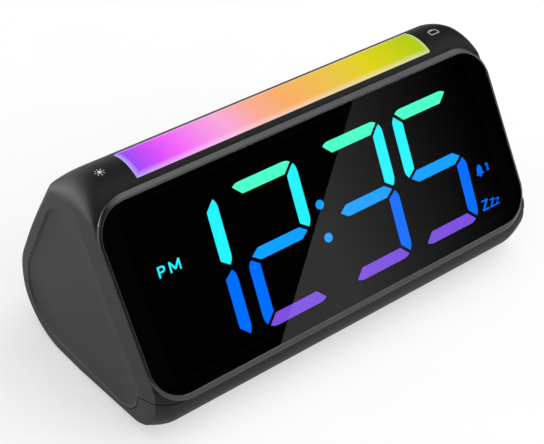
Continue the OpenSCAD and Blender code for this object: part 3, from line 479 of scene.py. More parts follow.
def spread(a, b, marks):
    """Even angles from a to b, with the marks in place of those that lie too near them."""
    values = sorted(set(np.linspace(a, b, ARC_COUNT)) | set(marks))
    kept = [values[0]]
    for v in values[1:]:
        near = v - kept[-1] < LEAST_STEP
        if near and v not in marks:
            continue
        if near and kept[-1] not in marks and len(kept) > 1:
            kept.pop()
        kept.append(v)
    if b not in kept:
        kept[-1] = b
    return kept


def spread_seam(a, b, marks):
    """Angles from a to b on the outline with the edges of the seam, and the angles on the dish that match them."""
    angles = spread(a, b, [m[0] for m in marks])
    return angles, np.interp(angles, [a] + [m[0] for m in marks] + [b], [a] + [m[1] for m in marks] + [b])


# Each station: point and normal on the outline, point and normal on the dish, angle
stations = []


def add_arc(c, r, dc, dr, angles, dish_angles):
    for a, d in zip(angles, dish_angles):
        stations.append((c + r * unit(a), unit(a), dc + dr * unit(d), unit(d), a))


def add_line(c0, r0, c1, r1, d0, s0, d1, s1, a, steps, tau):
    for f in steps:
        stations.append(((c0 + r0 * unit(a)) * (1 - f) + (c1 + r1 * unit(a)) * f, unit(a),
                         (d0 + s0 * unit(a)) * (1 - f) + (d1 + s1 * unit(a)) * f, unit(a), tau))


apex_angles = spread(REAR_A, FRONT_A, slot_marks)
add_arc(APEX_C, APEX_R, DISH_APEX, DISH_APEX_R, apex_angles, apex_angles)
slot_stations = [apex_angles.index(m) for m in slot_marks]
front_first = len(stations) - 1
add_line(APEX_C, APEX_R, FRONT_C, FRONT_R, DISH_APEX, DISH_APEX_R, DISH_NOSE, DISH_FRONT_R, FRONT_A,
         np.linspace(0, 1, 17)[1:-1], FRONT_A)
nose_angles, nose_dish = spread_seam(FRONT_A, FLOOR_A, front_marks)
front_last = len(stations)
upper_front = front_last + nose_angles.index(front_marks[0][0])
base_front = front_last + nose_angles.index(front_marks[1][0])
add_arc(FRONT_C, FRONT_R, DISH_NOSE, DISH_FRONT_R, nose_angles, nose_dish)
floor_first = len(stations) - 1
add_line(FRONT_C, FRONT_R, REAR_C, REAR_R, DISH_NOSE, DISH_FRONT_R, DISH_HEEL, DISH_REAR_R, FLOOR_A,
         np.linspace(0, 1, 21)[1:-1], FLOOR_A)
heel_angles, heel_dish = spread_seam(FLOOR_A, REAR_A + 360, rear_marks)
floor_last = len(stations)
base_rear = floor_last + heel_angles.index(rear_marks[0][0])
add_arc(REAR_C, REAR_R, DISH_HEEL, DISH_REAR_R, heel_angles, heel_dish)
rear_first = len(stations) - 1
rear_half = np.linalg.norm(REAR_C + REAR_R * unit(REAR_A) - REAR_MID)
rear_steps = [0.5 + k / rear_half / 2 for k in (-17, -12, -8, -4, 0, 4, 8, 12, 17)]
rear_low, rear_high = len(stations), len(stations) + len(rear_steps) - 1
add_line(REAR_C, REAR_R, APEX_C, APEX_R, DISH_HEEL, DISH_REAR_R, DISH_APEX, DISH_APEX_R, REAR_A,
         rear_steps, REAR_A + 360)

P, NP, Q, NQ = (np.array([s[i] for s in stations]) for i in range(4))
TAU = np.array([s[4] for s in stations])
COUNT = len(stations)
NUMBER = np.arange(COUNT)


def from_apex(face_a):
    """Distance of each station from where the apex meets a face."""
    return np.linalg.norm(P - APEX_C - APEX_R * unit(face_a), axis=1)


# Rounding of the rim of each end: how far it runs along the length, and how far onto the end
EDGE = np.interp(TAU, [30, 45, 60, 75, 90, 105, 120, 135, 150, 180, 225, 270, 330, 390],
                 [3.1, 8.6, 11.2, 11.0, 9.7, 7.7, 5.9, 4.2, 2.0, 0.3, 0.35, 0.7, 1.3, 1.1])
on_front = (NUMBER > front_first) & (TAU < 180)
EDGE = np.where(on_front, np.interp(from_apex(FRONT_A), [0, 8], [2.0, 0.3]), EDGE)
EDGE = np.where(NUMBER > rear_first, np.interp(from_apex(REAR_A), [0, 16, 32], [3.1, 0.5, 1.1]), EDGE)
EASE_ROUNDS = 24


def ease(values):
    """Values around the section with their corners smoothed."""
    for _ in range(EASE_ROUNDS):
        values = (np.roll(values, 1) + 2 * values + np.roll(values, -1)) / 4
    return values


REACH = np.minimum(EDGE, np.interp(TAU, [30, 45, 60, 75, 105, 120, 135, 150, 151],
                                   [3.1, 5.5, 6.5, 7.0, 7.0, 6.5, 4.2, 2.0, 9.0]))
EDGE, REACH = EDGE_GAIN * ease(EDGE), REACH_GAIN * ease(REACH)
on_nose = (NUMBER >= front_last) & (NUMBER <= floor_first)
on_floor = (NUMBER > floor_first) & (NUMBER < floor_last)
FLOOR_DRAW, FLOOR_DRAW_W = 2.1, 30
nose_draw = np.interp(TAU, [150, 165, 180, 195, 210, 225, 245, 270],
                      [0, 0.5, 1.2, 1.75, 2.25, 2.4, 2.5, FLOOR_DRAW])
floor_draw = FLOOR_DRAW * np.clip(1 - (P[:, 0] - FRONT_C[0]) / FLOOR_DRAW_W, 0, 1)
draw_in = np.where(on_nose, nose_draw, np.where(on_floor, floor_draw, 0))
seam_lift = np.where(on_nose, SEAM_RISE * np.interp(TAU, [150, front_marks[0][0], 230], [0, 1, 0]), 0)


def outline_at(back):
    """Outline at a distance from the ends: near them the nose draws in and the seam rises."""
    turn = TAU - seam_lift * np.clip(1 - back / SEAM_REACH, 0, 1) ** 1.4
    n = np.where(on_nose[:, None], np.array([unit(a) for a in turn]), NP)
    p = np.where(on_nose[:, None], FRONT_C + FRONT_R * n, P)
    return p - n * (draw_in * np.clip(1 - back / NOSE_REACH, 0, 1) ** 1.6)[:, None], n


END_P, END_N = outline_at(0.0)
half_x = end_x(END_P) - EDGE
# Dish: its level, the share of its depth that its wall takes, and the flat that is left outside its edge
DISH_X = HALF_W - DISH_DEPTH
DISH_WALL = ease(np.interp(TAU, [30, 60, 150, 200, 230, 300, 390], [0.5, 0.66, 0.66, 0.5, 0.3, 0.25, 0.4]))
DISH_GAP = np.interp(TAU, [150, 170, 215, 240], [0.2, 0.42, 0.42, 0.2])


def end_rows():
    """Rows from the side of the body over the rim and into the dish of one end."""
    rows = []
    for theta in (*range(8, 81, 8), 90):
        t = math.radians(theta)
        p = END_P - END_N * (REACH * (1 - math.cos(t)))[:, None]
        rows.append(("rim", p, end_x(p) - EDGE * (1 - math.sqrt(1 - math.cos(t) ** RIM_POWER))))
    start = END_P - END_N * REACH[:, None]
    stop = Q + NQ * DISH_GAP[:, None]
    for f in (np.arange(1, 19) / 18) ** 1.5:
        p = start * (1 - f) + stop * f
        rows.append(("rim", p, end_x(p)))
    edge_x = end_x(Q)
    for d in (0, 0.12, 0.3, 0.5, 0.75, 1.0, 1.3, 1.6, 2.0, 2.4, 3.0, 4.5, 6.5, DISH_SLOPE_W):
        wall = 1 - (1 - min(d / DISH_WALL_W, 1)) ** 2
        slope = 1 - (1 - d / DISH_SLOPE_W) ** 2
        deep = DISH_WALL * wall + (1 - DISH_WALL) * slope
        rows.append(("edge" if d == 0 else "dish", Q - NQ * d, edge_x * (1 - deep) + DISH_X * deep))
    bottom = Q - NQ * DISH_SLOPE_W
    middle = bottom.mean(axis=0)
    for f in (0.85, 0.65, 0.45, 0.25, 0.1, 0.02):
        rows.append(("dish", middle + (bottom - middle) * f, np.full(COUNT, DISH_X)))
    return rows


# The section stays the same up to STRAIGHT_X on each side
STRAIGHT_X, NEXT_X = 64.0, 61.0
slot_x = np.linspace(-BAR_HALF - BAR_GAP, BAR_HALF + BAR_GAP, 25)
fixed_x = [-STRAIGHT_X, -NEXT_X, *slot_x, NEXT_X, STRAIGHT_X]
outer = end_rows()
near_end = [(outline_at((half_x - STRAIGHT_X) * (1 - g))[0], STRAIGHT_X + (half_x - STRAIGHT_X) * g)
            for g in (1, 0.95, 0.9, 0.82, 0.7, 0.55, 0.4)]
rows = [(kind, p, -x) for kind, p, x in reversed(outer)]
rows += [("side", p, -x) for p, x in near_end]
first_fixed = len(rows)
rows += [("side", P, np.full(COUNT, x)) for x in fixed_x]
last_fixed = len(rows) - 1
rows += [("side", p, x) for p, x in reversed(near_end)]
rows += outer
grid = np.array([np.column_stack([x, p[:, 0], p[:, 1]]) for _, p, x in rows])
kinds = [r[0] for r in rows]
slot_rows = (first_fixed + 2, last_fixed - 2)


def strip_kind(a, b):
    """Part of the shell that lies between two rows."""
    pair = {kinds[a], kinds[b]}
    if "edge" in pair and "rim" in pair:
        return "edge"
    if "dish" in pair:
        return "dish"
    return "side"


def in_span(k, a, b):
    return a <= k < b


# Parts of the grid that are left out of the shell, by rows and stations
patches = {"front": (first_fixed - 1, last_fixed + 1, front_first, front_last),
           "slot": (slot_rows[0], slot_rows[1], slot_stations[0], slot_stations[1]),
           "floor": (first_fixed - 1, last_fixed + 1, floor_first + 1, floor_last - 1),
           "rear": (first_fixed, last_fixed, rear_low, rear_high)}
upper_faces, base_faces = [], []
for r in range(len(rows) - 1):
    kind = strip_kind(r, r + 1)
    for k in range(COUNT):
        j = (k + 1) % COUNT
        quad = (r * COUNT + k, r * COUNT + j, (r + 1) * COUNT + j, (r + 1) * COUNT + k)
        if kind == "dish":
            upper_faces.append(quad)
            continue
        if k == upper_front or k == base_rear:
            continue
        in_base = in_span(k, base_front, base_rear)
        if kind == "edge":
            if not in_base:
                upper_faces.append(quad)
            continue
        if any(in_span(r, a, b) and in_span(k, c, d) for a, b, c, d in patches.values()):
            continue
        (base_faces if in_base else upper_faces).append(quad)
grid_verts = [tuple(v) for v in grid.reshape(-1, 3)]
for first in (0, (len(rows) - 1) * COUNT):
    upper_faces.append(tuple(range(first, first + COUNT)))


def patch_loop(name):
    """Points of the grid around a patch."""
    a, b, c, d = patches[name]
    loop = [grid[a, k] for k in range(c, d + 1)] + [grid[r, d] for r in range(a + 1, b + 1)]
    loop += [grid[b, k] for k in range(d - 1, c - 1, -1)] + [grid[r, c] for r in range(b - 1, a, -1)]
    return np.array(loop)


def panel(name, matrix, holes):
    """Flat panel that fills a patch of the shell around its holes."""
    back = matrix.inverted()
    edge = np.array([tuple(back @ Vector(p)) for p in patch_loop(name)])
    verts, faces = filled([edge[:, :2]] + holes)
    return [tuple(matrix @ Vector((v[0], v[1], 0))) for v in verts], faces


BODY_MIDDLE, WELD, SHELL_SHARP = Vector((0, 0, 0.036)), 0.00001, 38


def shell_piece(name, faces, extra, node):
    """Skin of a shell from faces of the grid and panels, with a wall turned in along each open edge."""
    used = sorted({i for f in faces for i in f})
    new = {old: i for i, old in enumerate(used)}
    verts = [grid_verts[i] for i in used]
    verts, faces = merge([(verts, [tuple(new[i] for i in f) for f in faces])] + extra)
    mesh = bpy.data.meshes.new(name)
    mesh.from_pydata([Vector(v) * MM for v in verts], [], faces)
    bm = bmesh.new()
    bm.from_mesh(mesh)
    bmesh.ops.remove_doubles(bm, verts=bm.verts, dist=WELD)
    bmesh.ops.recalc_face_normals(bm, faces=bm.faces)
    if sum((f.calc_center_median() - BODY_MIDDLE).dot(f.normal) * f.calc_area() for f in bm.faces) < 0:
        bmesh.ops.reverse_faces(bm, faces=bm.faces)
    bm.normal_update()
    rim = [e for e in bm.edges if e.is_boundary]
    inner = {}
    for v in dict.fromkeys(v for e in rim for v in e.verts):
        n = sum((f.normal * f.calc_area() for f in v.link_faces), Vector())
        inner[v] = bm.verts.new(v.co - n.normalized() * WALL * MM)
    for e in rim:
        a, b = e.verts
        if e.link_loops[0].vert == a:
            a, b = b, a
        bm.faces.new((a, b, inner[b], inner[a]))
        e.smooth = False
    bm.normal_update()
    bm.to_mesh(mesh)
    bm.free()
    mesh.shade_smooth()
    mesh.set_sharp_from_angle(angle=math.radians(SHELL_SHARP))
    piece = bpy.data.objects.new(name, mesh)
    bpy.context.scene.collection.objects.link(piece)
    paint(piece, SHELL)
    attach(piece, "housing")
    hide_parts(node)


def pill(w, h, arc=12, centre=(0, 0)):
    """Outline with round ends."""
    return box_outline(w, h, h / 2 - 0.001, arc) + np.array(centre)


KEYS = ("set_key", "down_key", "up_key", "alarm_one_key", "alarm_two_key")
key_places = [(KEY_PITCH * (i - 2), KEY_Y) for i in range(len(KEYS))]
rear_holes = [pill(KEY_W + 2 * KEY_GAP, KEY_H + 2 * KEY_GAP, centre=c) for c in key_places]
rear_holes.append(pill(INLET_W, INLET_H, centre=INLET_AT))
for i in range(-GRILLE_RINGS, GRILLE_RINGS + 1):
    for j in range(-GRILLE_RINGS, GRILLE_RINGS + 1):
        if abs(i + j) <= GRILLE_RINGS:
            spot = (GRILLE_X + GRILLE_PITCH * (i + j / 2), GRILLE_Y + GRILLE_PITCH * j * math.sqrt(3) / 2)
            rear_holes.append(circle_outline(GRILLE_R, 16, spot))
base_holes = [circle_outline(CELL_R, 72, (CELL_X, 0))]
base_holes += [circle_outline(SCREW_R, 28, (x * SCREW_X, y * SCREW_Y)) for x in (-1, 1) for y in (-1, 1)]
shell_piece("upper_shell", upper_faces, [panel("rear", AT_REAR, rear_holes)], "upper_housing")
shell_piece("lower_shell", base_faces, [panel("floor", AT_BASE, base_holes)], "base_cover")

# Bezel ring, its rear plate and the lens. Each row of the ring's profile has its share of the way out from the
# lens and its height, first at the left and right and then at the top and bottom.
RING_PROFILE = ((0, -0.8, 0, -1.5), (0, -0.08, 0, -0.11), (0.03, -0.02, 0.02, -0.03), (0.1, -0.02, 0.08, -0.02),
                (0.4, -0.09, 0.2, -0.11), (0.65, -0.16, 0.5, -0.43), (0.82, -0.28, 0.84, -0.80),
                (0.93, -0.46, 0.93, -0.90), (1, -0.75, 1, -1.0), (1, -0.95, 1, -1.1))
# Rows that carry a painted highlight along the ring's edges, and the rows from which the ring has the shell's
# finish at left and right and elsewhere
HIGHLIGHT_ROWS, SIDE_SHELL_ROW, SHELL_ROW = (1, 2), 6, 8
# Width of the band that counts as top or bottom, and the height of its skirt with the extra drop there
TOP_BAND, SKIRT_N, SKIRT_DROP, SKIRT_IN = 2.05, -1.1, 1.5, 0.3
inner_ring = box_outline(LENS_W + LENS_GAP, LENS_H + LENS_GAP, LENS_R, 24, 24, 8)
outer_ring = box_outline(BEZEL_W, BEZEL_H, BEZEL_R, 24, 24, 8)
away = outer_ring - inner_ring
upright = np.abs(away[:, 1]) / TOP_BAND
skirt = SKIRT_N - SKIRT_DROP * np.clip((upright - 0.75) / 0.25, 0, 1)
upright = np.clip(upright, 0, 1)
rings = []
for side_f, side_n, top_f, top_n in RING_PROFILE:
    share = side_f + (top_f - side_f) * upright
    height = side_n + (top_n - side_n) * upright
    rings.append([(p[0] + a[0] * f, p[1] + a[1] * f, n) for p, a, f, n in zip(inner_ring, away, share, height)])
rings.append([(p[0], p[1], s) for p, s in zip(outer_ring, skirt)])
rings.append([(p[0], p[1], s) for p, s in zip(inner_ring + away * SKIRT_IN, skirt)])
ring = add("bezel_ring", loft(rings + rings[:1], False, False), BEZEL, ["lens_bezel"],
           matrix=AT_LENS, sharp=60)
ring.data.materials.append(BEZEL_EDGE_HIGHLIGHT)
ring.data.materials.append(SHELL)
for face in ring.data.polygons:
    row, spot = divmod(face.index, len(inner_ring))
    # Edge rows take the pale finish, which is a painted highlight
    if row in HIGHLIGHT_ROWS:
        face.material_index = 1
    elif row >= SHELL_ROW or (row >= SIDE_SHELL_ROW and upright[spot] < 0.5):
        face.material_index = 2
# Width, height and corner radius of the plate and its window, the window's place, and the plate's two faces
PLATE, WINDOW, WINDOW_U, PLATE_LOW, PLATE_HIGH = (148.6, 61.0, 9.0), (137.0, 52.0, 4.0), -1.43, -2.7, -1.12
window = box_outline(*WINDOW) + np.array([0, WINDOW_U])
add("bezel_plate", plate([box_outline(*PLATE), window], PLATE_LOW, PLATE_HIGH), MASK, ["lens_bezel"],
    matrix=AT_LENS)
# Inset and height of each row
LENS_PROFILE = ((0.05, -1.0), (0, -0.9), (0, -0.16), (0.05, -0.05), (0.16, 0))
lens_rings = [flat(box_outline(LENS_W - 2 * i, LENS_H - 2 * i, LENS_R - i, 20), n) for i, n in LENS_PROFILE]
add("lens_plate", loft(lens_rings), LENS, ["display_lens"], matrix=AT_LENS, sharp=60)

# Display: places are as seen on the lens, then moved by SEE_X and SEE_U to where they lie behind it
SEE_X, SEE_U, BACK, GLOW_T = 0.71, -0.29, -1.15, 0.15
DIGIT_U, SLANT = -1.42, 0.06
COLON, COLON_R = ((-3.3, 4.1), (-4.0, -6.6)), 1.5


def mark(shape, x, u, scale=1.0):
    """Slanted outline of a lit mark in its place."""
    pts = np.array(shape, float) * scale
    pts[:, 0] += SLANT * pts[:, 1]
    return pts + np.array([x + SEE_X, u + SEE_U])


def lit_plate(outlines):
    """Thin plate of a lit mark."""
    return plate(outlines, BACK - GLOW_T, BACK)


def arc(cx, cy, r, a0, a1, steps=6):
    """Points along part of a circle."""
    return [tuple(np.array([cx, cy]) + r * unit(a0 + (a1 - a0) * i / steps)) for i in range(steps + 1)]


TOP_STROKE = [(-8.0, 18.82), (8.0, 18.82)] + arc(8.3, 18.1, 4.5, 54, 90) + arc(-8.3, 18.1, 4.5, 90, 126)
SIDE_STROKE = [(8.72, 18.05), (8.72, 2.84)] + arc(8.3, 3.86, 4.5, -43, 0) + arc(8.3, 18.1, 4.5, 0, 39.5)
MID_STROKE = [(-10.7, 0), (-8.0, 1.9), (8.0, 1.9), (10.7, 0), (8.0, -1.9), (-8.0, -1.9)]


# Middle and lit strokes of each digit, and the shape of each stroke with its flips across and up
CELLS = {"1": (-51.3, "bc"), "2": (-21.1, "abged"), "3": (13.8, "abgcd"), "5": (43.9, "afgcd")}
SHAPES = {"a": (TOP_STROKE, 1, 1), "d": (TOP_STROKE, 1, -1), "g": (MID_STROKE, 1, 1), "b": (SIDE_STROKE, 1, 1),
          "f": (SIDE_STROKE, -1, 1), "c": (SIDE_STROKE, 1, -1), "e": (SIDE_STROKE, -1, -1)}
# Strokes, finish and slot of each level
LEVELS = {"segments_top": ("a", MINT, "segment_mint"), "segments_upper": ("bf", CYAN, "segment_cyan"),
          "segments_middle": ("g", AZURE, "segment_azure"), "segments_lower": ("ce", BLUE, "segment_blue"),
          "segments_bottom": ("d", VIOLET, "segment_violet")}
for node, (letters, mat, slot) in LEVELS.items():
    outlines = []
    for cx, lit in CELLS.values():
        for letter in letters:
            if letter in lit:
                shape, fx, fu = SHAPES[letter]
                outlines.append(mark(np.array(shape) * np.array([fx, fu]), cx, DIGIT_U))
    if node == "segments_middle":
        outlines += [circle_outline(COLON_R, 28, (x + SEE_X, u + SEE_U)) for x, u in COLON]
    add(node + "_lit", merge([lit_plate([o]) for o in outlines]), mat, [node], matrix=AT_LENS)

# Small marks of the display
P_MARK = [[(0, 0), (0.6, 0), (0.6, 1.28)] + arc(1.52, 2.3, 1.03, -90, 90, 12) + [(0, 3.33)],
          [(0.6, 1.78)] + arc(1.45, 2.3, 0.52, -90, 90, 10) + [(0.6, 2.82)]]
M_MARK = [[(0, 0), (0.6, 0), (0.6, 2.2), (1.72, 0.5), (2.2, 0.5), (3.32, 2.2), (3.32, 0), (3.92, 0), (3.92, 3.33),
           (3.36, 3.33), (1.96, 1.3), (0.56, 3.33), (0, 3.33)]]
PM_U = 4.75
letters = [lit_plate([mark(o, x, PM_U) for o in letter]) for letter, x in ((P_MARK, -62.95), (M_MARK, -59.05))]
add("afternoon_lit", merge(letters), CYAN, ["afternoon_mark"], matrix=AT_LENS)
BELL = [(-1.7, 0.62), (-1.25, 1.0), (-1.1, 2.1)] + arc(0, 2.35, 1.08, 170, 112, 5)
BELL += [(-0.3, 3.75), (0.3, 3.75)] + arc(0, 2.35, 1.08, 68, 10, 5)
BELL += [(1.1, 2.1), (1.25, 1.0), (1.7, 0.62), (1.7, 0.4), (-1.7, 0.4)]
CLAPPER = arc(0, 0.24, 0.62, 180, 360, 10)
ONE = [(0.25, 0), (1.6, 0), (1.6, 0.42), (1.2, 0.42), (1.2, 2.6), (0.75, 2.6), (0.15, 2.15), (0.15, 1.7),
       (0.7, 2.02), (0.7, 0.42), (0.25, 0.42)]
ZED = [(0, 0), (3.0, 0), (3.0, 0.52), (0.85, 0.52), (3.0, 3.05), (3.0, 3.55), (0.15, 3.55), (0.15, 3.03),
       (2.15, 3.03), (0, 0.5)]
# Shape, place and scale of each sign
signs = [(BELL, 60.85, -10.75, 1.0), (CLAPPER, 60.85, -10.75, 1.0), (ONE, 63.55, -10.1, 1.0),
         (ZED, 57.45, -22.3, 1.0), (ZED, 61.0, -22.3, 0.78), (ZED, 63.55, -22.3, 0.62)]
add("alarm_lit", merge([lit_plate([mark(*sign)]) for sign in signs]), BLUE, ["alarm_marks"],
    matrix=AT_LENS)

# Light bar: part of a ring about the apex, with soft edges. It stands a little proud of the shell.
BAR_PROUD, BAR_DEEP, BAR_ROUND = 0.2, 2.4, 0.55
# Distance from the end and inset of each row
BAR_ENDS = ((0, 0.42), (0.04, 0.24), (0.16, 0.1), (0.4, 0.02), (0.7, 0.0))
bar_axis, bar_side = unit(BAR_A), unit(BAR_A - 90)


def bar_section(inset):
    """Outline of the bar, from one edge over its top and back along its underside."""
    half = BAR_HALF_W - inset
    top, low = APEX_R + BAR_PROUD - inset, APEX_R - BAR_DEEP + inset
    reach = math.asin((half - 0.45 * BAR_ROUND) / top)
    pts = [(math.sin(a) * top, math.cos(a) * top) for a in np.linspace(-reach, reach, 31)]
    edge_h = math.sqrt(top * top - half * half) - 0.5 * BAR_ROUND
    pts.append((half, edge_h))
    pts += [(t, math.sqrt(low * low - t * t)) for t in half * np.linspace(1, -1, 17)]
    pts.append((-half, edge_h))
    return [APEX_C + bar_side * t + bar_axis * h for t, h in pts]


bar_places = [(i - BAR_HALF, inset) for i, inset in BAR_ENDS] + [(0, 0.0)]
bar_places += [(BAR_HALF - i, inset) for i, inset in reversed(BAR_ENDS)]
bar_rows = [[(x, p[0], p[1]) for p in bar_section(inset)] for x, inset in bar_places]
add("light_bar_glow", loft(bar_rows), BAR, ["light_bar"], "light_bar", sharp=50)

# Rear keys with rounded tops: inset and height of each row
KEY_PROFILE = ((0, -2.4), (0, 0.2), (0.06, 0.42), (0.22, 0.6), (0.5, 0.69), (1.0, 0.7))
for name, spot in zip(KEYS, key_places):
    key_rings = [flat(pill(KEY_W - 2 * i, KEY_H - 2 * i, 16, spot), z) for i, z in KEY_PROFILE]
    add(name + "_cap", loft(key_rings), KEY, [name], name, AT_REAR, sharp=60)

# Feet with soft edges: radius and height of each row
FOOT_PROFILE = ((5, 1.5), (5, 0.4), (4.9, 0.18), (4.7, 0.05), (4.3, 0.0))
feet = [loft([flat(circle_outline(r, 40, (x, FLOOR_Y + y)), z) for r, z in FOOT_PROFILE])
        for x in (-FOOT_X, FOOT_X) for y in (-FOOT_Y, FOOT_Y)]
add("rubber_feet", merge(feet), RUBBER, ["feet"])
# Printed pictograms beside the light bar, a lamp and a screen: they follow the shell
LEGEND_LIFT, LINE_W = 0.03, 0.26
SUN_AT, SCREEN_AT = np.array([-66, 0.3]), np.array([64.5, 0.1])


def printed(name, outlines):
    """Thin print on the rounding of the apex."""
    parts = []
    for group in outlines:
        verts, faces = filled(group)
        bm = bmesh.new()
        made = [bm.verts.new(v) for v in verts]
        for f in faces:
            bm.faces.new([made[i] for i in f])
        for _ in range(2):
            bmesh.ops.subdivide_edges(bm, edges=bm.edges, cuts=1, use_grid_fill=True)
        bmesh.ops.triangulate(bm, faces=bm.faces)
        bm.verts.index_update()
        pts = []
        for v in bm.verts:
            x, t = v.co.x, v.co.y
            p = APEX_C + bar_side * t + bar_axis * (math.sqrt(APEX_R ** 2 - t * t) + LEGEND_LIFT)
            pts.append((x, p[0], p[1]))
        parts.append((pts, [tuple(v.index for v in f.verts) for f in bm.faces]))
        bm.free()
    add(name, merge(parts), LEGEND, [])


def line_stroke(a, b):
    """Outline of a straight line of the print."""
    a, b = np.array(a, float), np.array(b, float)
    way = (b - a) / np.linalg.norm(b - a)
    side = np.array([-way[1], way[0]]) * LINE_W / 2
    return [np.array([a + side, b + side, b - side, a - side])]


rays = [[circle_outline(0.7, 24, SUN_AT)]]
for a in range(0, 360, 45):
    rays.append(line_stroke(SUN_AT + 1.05 * unit(a), SUN_AT + 1.6 * unit(a)))
printed("light_legend", rays)
screen = [[box_outline(3.6, 2.3, 0.3, 6) + SCREEN_AT, box_outline(3.0, 1.7, 0.15, 6) + SCREEN_AT]]
screen.append(line_stroke((63.6, 1.55), (65.4, 1.55)))
printed("screen_legend", screen)

# Pieces that keep their solid take the finish of their slot
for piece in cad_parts.values():
    for i, mat in enumerate(piece.data.materials):
        slot = mat.name.split(".")[0] if mat else None
        if slot in SLOT_MATERIALS:
            piece.data.materials[i] = SLOT_MATERIALS[slot]

# Stage: the floor shows a little paler than its shade, as on a white sweep
FLOOR_LIFT, FLOOR_HALF = 0.52, 900
floor_corners = [(x * FLOOR_HALF, y * FLOOR_HALF, 0) for x, y in ((-1, -1), (1, -1), (1, 1), (-1, 1))]
floor = mesh_piece("floor", floor_corners, [(0, 1, 2, 3)])
floor_mat = plastic("floor_white", (0.86,) * 3, (0.88,) * 3, 0.9, 0.0, grain=40.0, bump=0)
tree = floor_mat.node_tree
path = tree.nodes.new("ShaderNodeLightPath")
white = tree.nodes.new("ShaderNodeEmission")
lift = tree.nodes.new("ShaderNodeMixShader")
out = tree.nodes["Material Output"]
shown = path.outputs["Is Camera Ray"]
for ray in ("Is Glossy Ray", "Is Transmission Ray"):
    shown = maths(tree, "MAXIMUM", shown, path.outputs[ray])
tree.links.new(maths(tree, "MULTIPLY", shown, FLOOR_LIFT), lift.inputs["Fac"])
tree.links.new(tree.nodes["Principled BSDF"].outputs["BSDF"], lift.inputs[1])
tree.links.new(white.outputs["Emission"], lift.inputs[2])
tree.links.new(lift.outputs["Shader"], out.inputs["Surface"])
paint(floor, floor_mat)

# Place of the camera, and where the lens mirrors it to
camera_at = Vector((-0.23224, -0.28495, 0.30071))
lens_mid = AT_LENS.translation * MM
lens_normal = (AT_LENS.to_3x3() @ Vector((0, 0, 1))).normalized()
mirror_at = camera_at - 2 * (camera_at - lens_mid).dot(lens_normal) * lens_normal


def reflected(x, u, reach):
    """Point at a distance from the lens that is mirrored at a place on the lens."""
    spot = AT_LENS @ Vector((x, u, 0)) * MM
    return spot + (spot - mirror_at).normalized() * reach


# The pale card whose mirror image is the sheen on the lens: its distance in metres, its corners as places on the
# lens, where it starts and stops to fade, and its level
CARD_FAR = 0.55
CARD_SPOTS = ((34, 45), (-45.8, -45), (95, -45), (95, 45))
CARD_START, CARD_STOP, CARD_FADE, CARD_LEVEL = -6, 76, 1.8, 0.72
card_corners = [reflected(x, u, CARD_FAR) for x, u in CARD_SPOTS]
card = mesh_piece("card", [tuple(c / MM) for c in card_corners], [(0, 1, 2, 3)])
card_mat = bpy.data.materials.new("card_glow")
tree, out = links(card_mat)
coords = tree.nodes.new("ShaderNodeTexCoord")
dot = tree.nodes.new("ShaderNodeVectorMath")
dot.operation = "DOT_PRODUCT"
across = (card_corners[2] - card_corners[1]).normalized()
start = reflected(CARD_START, 0, CARD_FAR).dot(across)
stop = reflected(CARD_STOP, 0, CARD_FAR).dot(across)
dot.inputs[1].default_value = tuple(across)
tree.links.new(coords.outputs["Object"], dot.inputs[0])
ramp = tree.nodes.new("ShaderNodeMapRange")
ramp.inputs["From Min"].default_value = start
ramp.inputs["From Max"].default_value = stop
ramp.inputs["To Min"].default_value = 1.0
ramp.inputs["To Max"].default_value = 0.0
tree.links.new(dot.outputs["Value"], ramp.inputs["Value"])
shine = tree.nodes.new("ShaderNodeEmission")
fade = maths(tree, "POWER", ramp.outputs["Result"], CARD_FADE)
tree.links.new(maths(tree, "MULTIPLY", fade, CARD_LEVEL), shine.inputs["Strength"])
tree.links.new(shine.outputs["Emission"], out.inputs["Surface"])
paint(card, card_mat)
card.visible_camera = card.visible_diffuse = card.visible_shadow = False

# World: soft light from all round with a broad key light from the front right
SKY_LIGHT, KEY_LIGHT, KEY_WAY = 0.50, 1.9, (0.42, -0.72, 0.55)
world = bpy.data.worlds.new("studio")
bpy.context.scene.world = world
world.use_nodes = True
tree = world.node_tree
tree.nodes.clear()
path = tree.nodes.new("ShaderNodeLightPath")
ways = tree.nodes.new("ShaderNodeTexCoord")


def toward(direction):
    """Cosine to a direction, from 0 up."""
    dot = tree.nodes.new("ShaderNodeVectorMath")
    dot.operation = "DOT_PRODUCT"
    dot.inputs[1].default_value = tuple(Vector(direction).normalized())
    tree.links.new(ways.outputs["Generated"], dot.inputs[0])
    return maths(tree, "MAXIMUM", dot.outputs["Value"], 0.0)


def background(strength):
    node = tree.nodes.new("ShaderNodeBackground")
    node.inputs["Color"].default_value = (1, 1, 1, 1)
    if isinstance(strength, float):
        node.inputs["Strength"].default_value = strength
    else:
        tree.links.new(strength, node.inputs["Strength"])
    return node.outputs["Background"]


def switch(fac, a, b):
    node = tree.nodes.new("ShaderNodeMixShader")
    tree.links.new(fac, node.inputs["Fac"])
    tree.links.new(a, node.inputs[1])
    tree.links.new(b, node.inputs[2])
    return node.outputs["Shader"]


def smooth(value, low, high, start=0.0, stop=1.0):
    """Soft step of a value."""
    node = tree.nodes.new("ShaderNodeMapRange")
    node.interpolation_type = "SMOOTHSTEP"
    for name, number in (("From Min", low), ("From Max", high), ("To Min", start), ("To Max", stop)):
        node.inputs[name].default_value = number
    tree.links.new(value, node.inputs["Value"])
    return node.outputs["Result"]


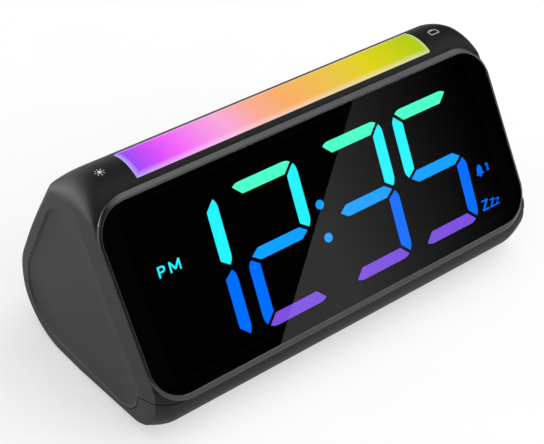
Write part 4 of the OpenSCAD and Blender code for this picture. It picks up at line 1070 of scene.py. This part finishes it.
key = maths(tree, "POWER", toward(KEY_WAY), 2.0)
soft = background(maths(tree, "ADD", maths(tree, "MULTIPLY", key, KEY_LIGHT), SKY_LIGHT))
# Gloss and glass show the white backdrop behind the clock, a dark room in front of it, and soft boxes above, right
# and left. Each box has its direction, the cosines at which it starts and is full, and its level.
BACKDROP_WAY, ROOM_LEVEL = (-0.55, 0.83, 0.0), 0.012
SOFT_BOXES = (((0.48, -0.3, 0.8), 0.94, 0.975, 1.3), ((0.68, -0.2, 0.7), 0.94, 0.975, 1.8),
              ((0.88, -0.25, 0.4), 0.90, 0.94, 1.2), ((-0.82, 0.56, 0.12), 0.5, 0.95, 9.0))
backdrop = smooth(toward(BACKDROP_WAY), 0.2, 0.5)
seen = maths(tree, "MULTIPLY", backdrop, smooth(toward((0, 0, 1)), 0.25, 0.85, 1.0, 0.0))
for way, low, high, level in SOFT_BOXES:
    seen = maths(tree, "MAXIMUM", seen, smooth(toward(way), low, high, ROOM_LEVEL, level))
gloss_or_glass = maths(tree, "MAXIMUM", path.outputs["Is Glossy Ray"], path.outputs["Is Transmission Ray"])
around = switch(gloss_or_glass, soft, background(seen))
out = tree.nodes.new("ShaderNodeOutputWorld")
tree.links.new(switch(path.outputs["Is Camera Ray"], around, background(1.0)), out.inputs["Surface"])

lamp = bpy.data.lights.new("overhead", "AREA")
lamp.shape = "DISK"
lamp.size = 1.0
lamp.energy = 3
overhead = bpy.data.objects.new("overhead", lamp)
overhead.location = (0.3, -0.2, 1.6)
overhead.rotation_euler = (-overhead.location).to_track_quat("-Z", "Y").to_euler()
bpy.context.scene.collection.objects.link(overhead)

# Camera as fitted to the photo
view = bpy.data.cameras.new("camera")
view.sensor_fit = "HORIZONTAL"
view.sensor_width = 36
view.lens = 92.98
view.clip_start = 0.01
camera = bpy.data.objects.new("camera", view)
right = Vector((0.78180, -0.62352, 0))
up = Vector((0.37258, 0.46715, 0.80185))
ahead = Vector((0.49997, 0.62689, -0.59753))
camera.matrix_world = basis(camera_at, right, up, -ahead)
bpy.context.scene.collection.objects.link(camera)
bpy.context.scene.camera = camera
bpy.context.scene.view_settings.view_transform = "Standard"
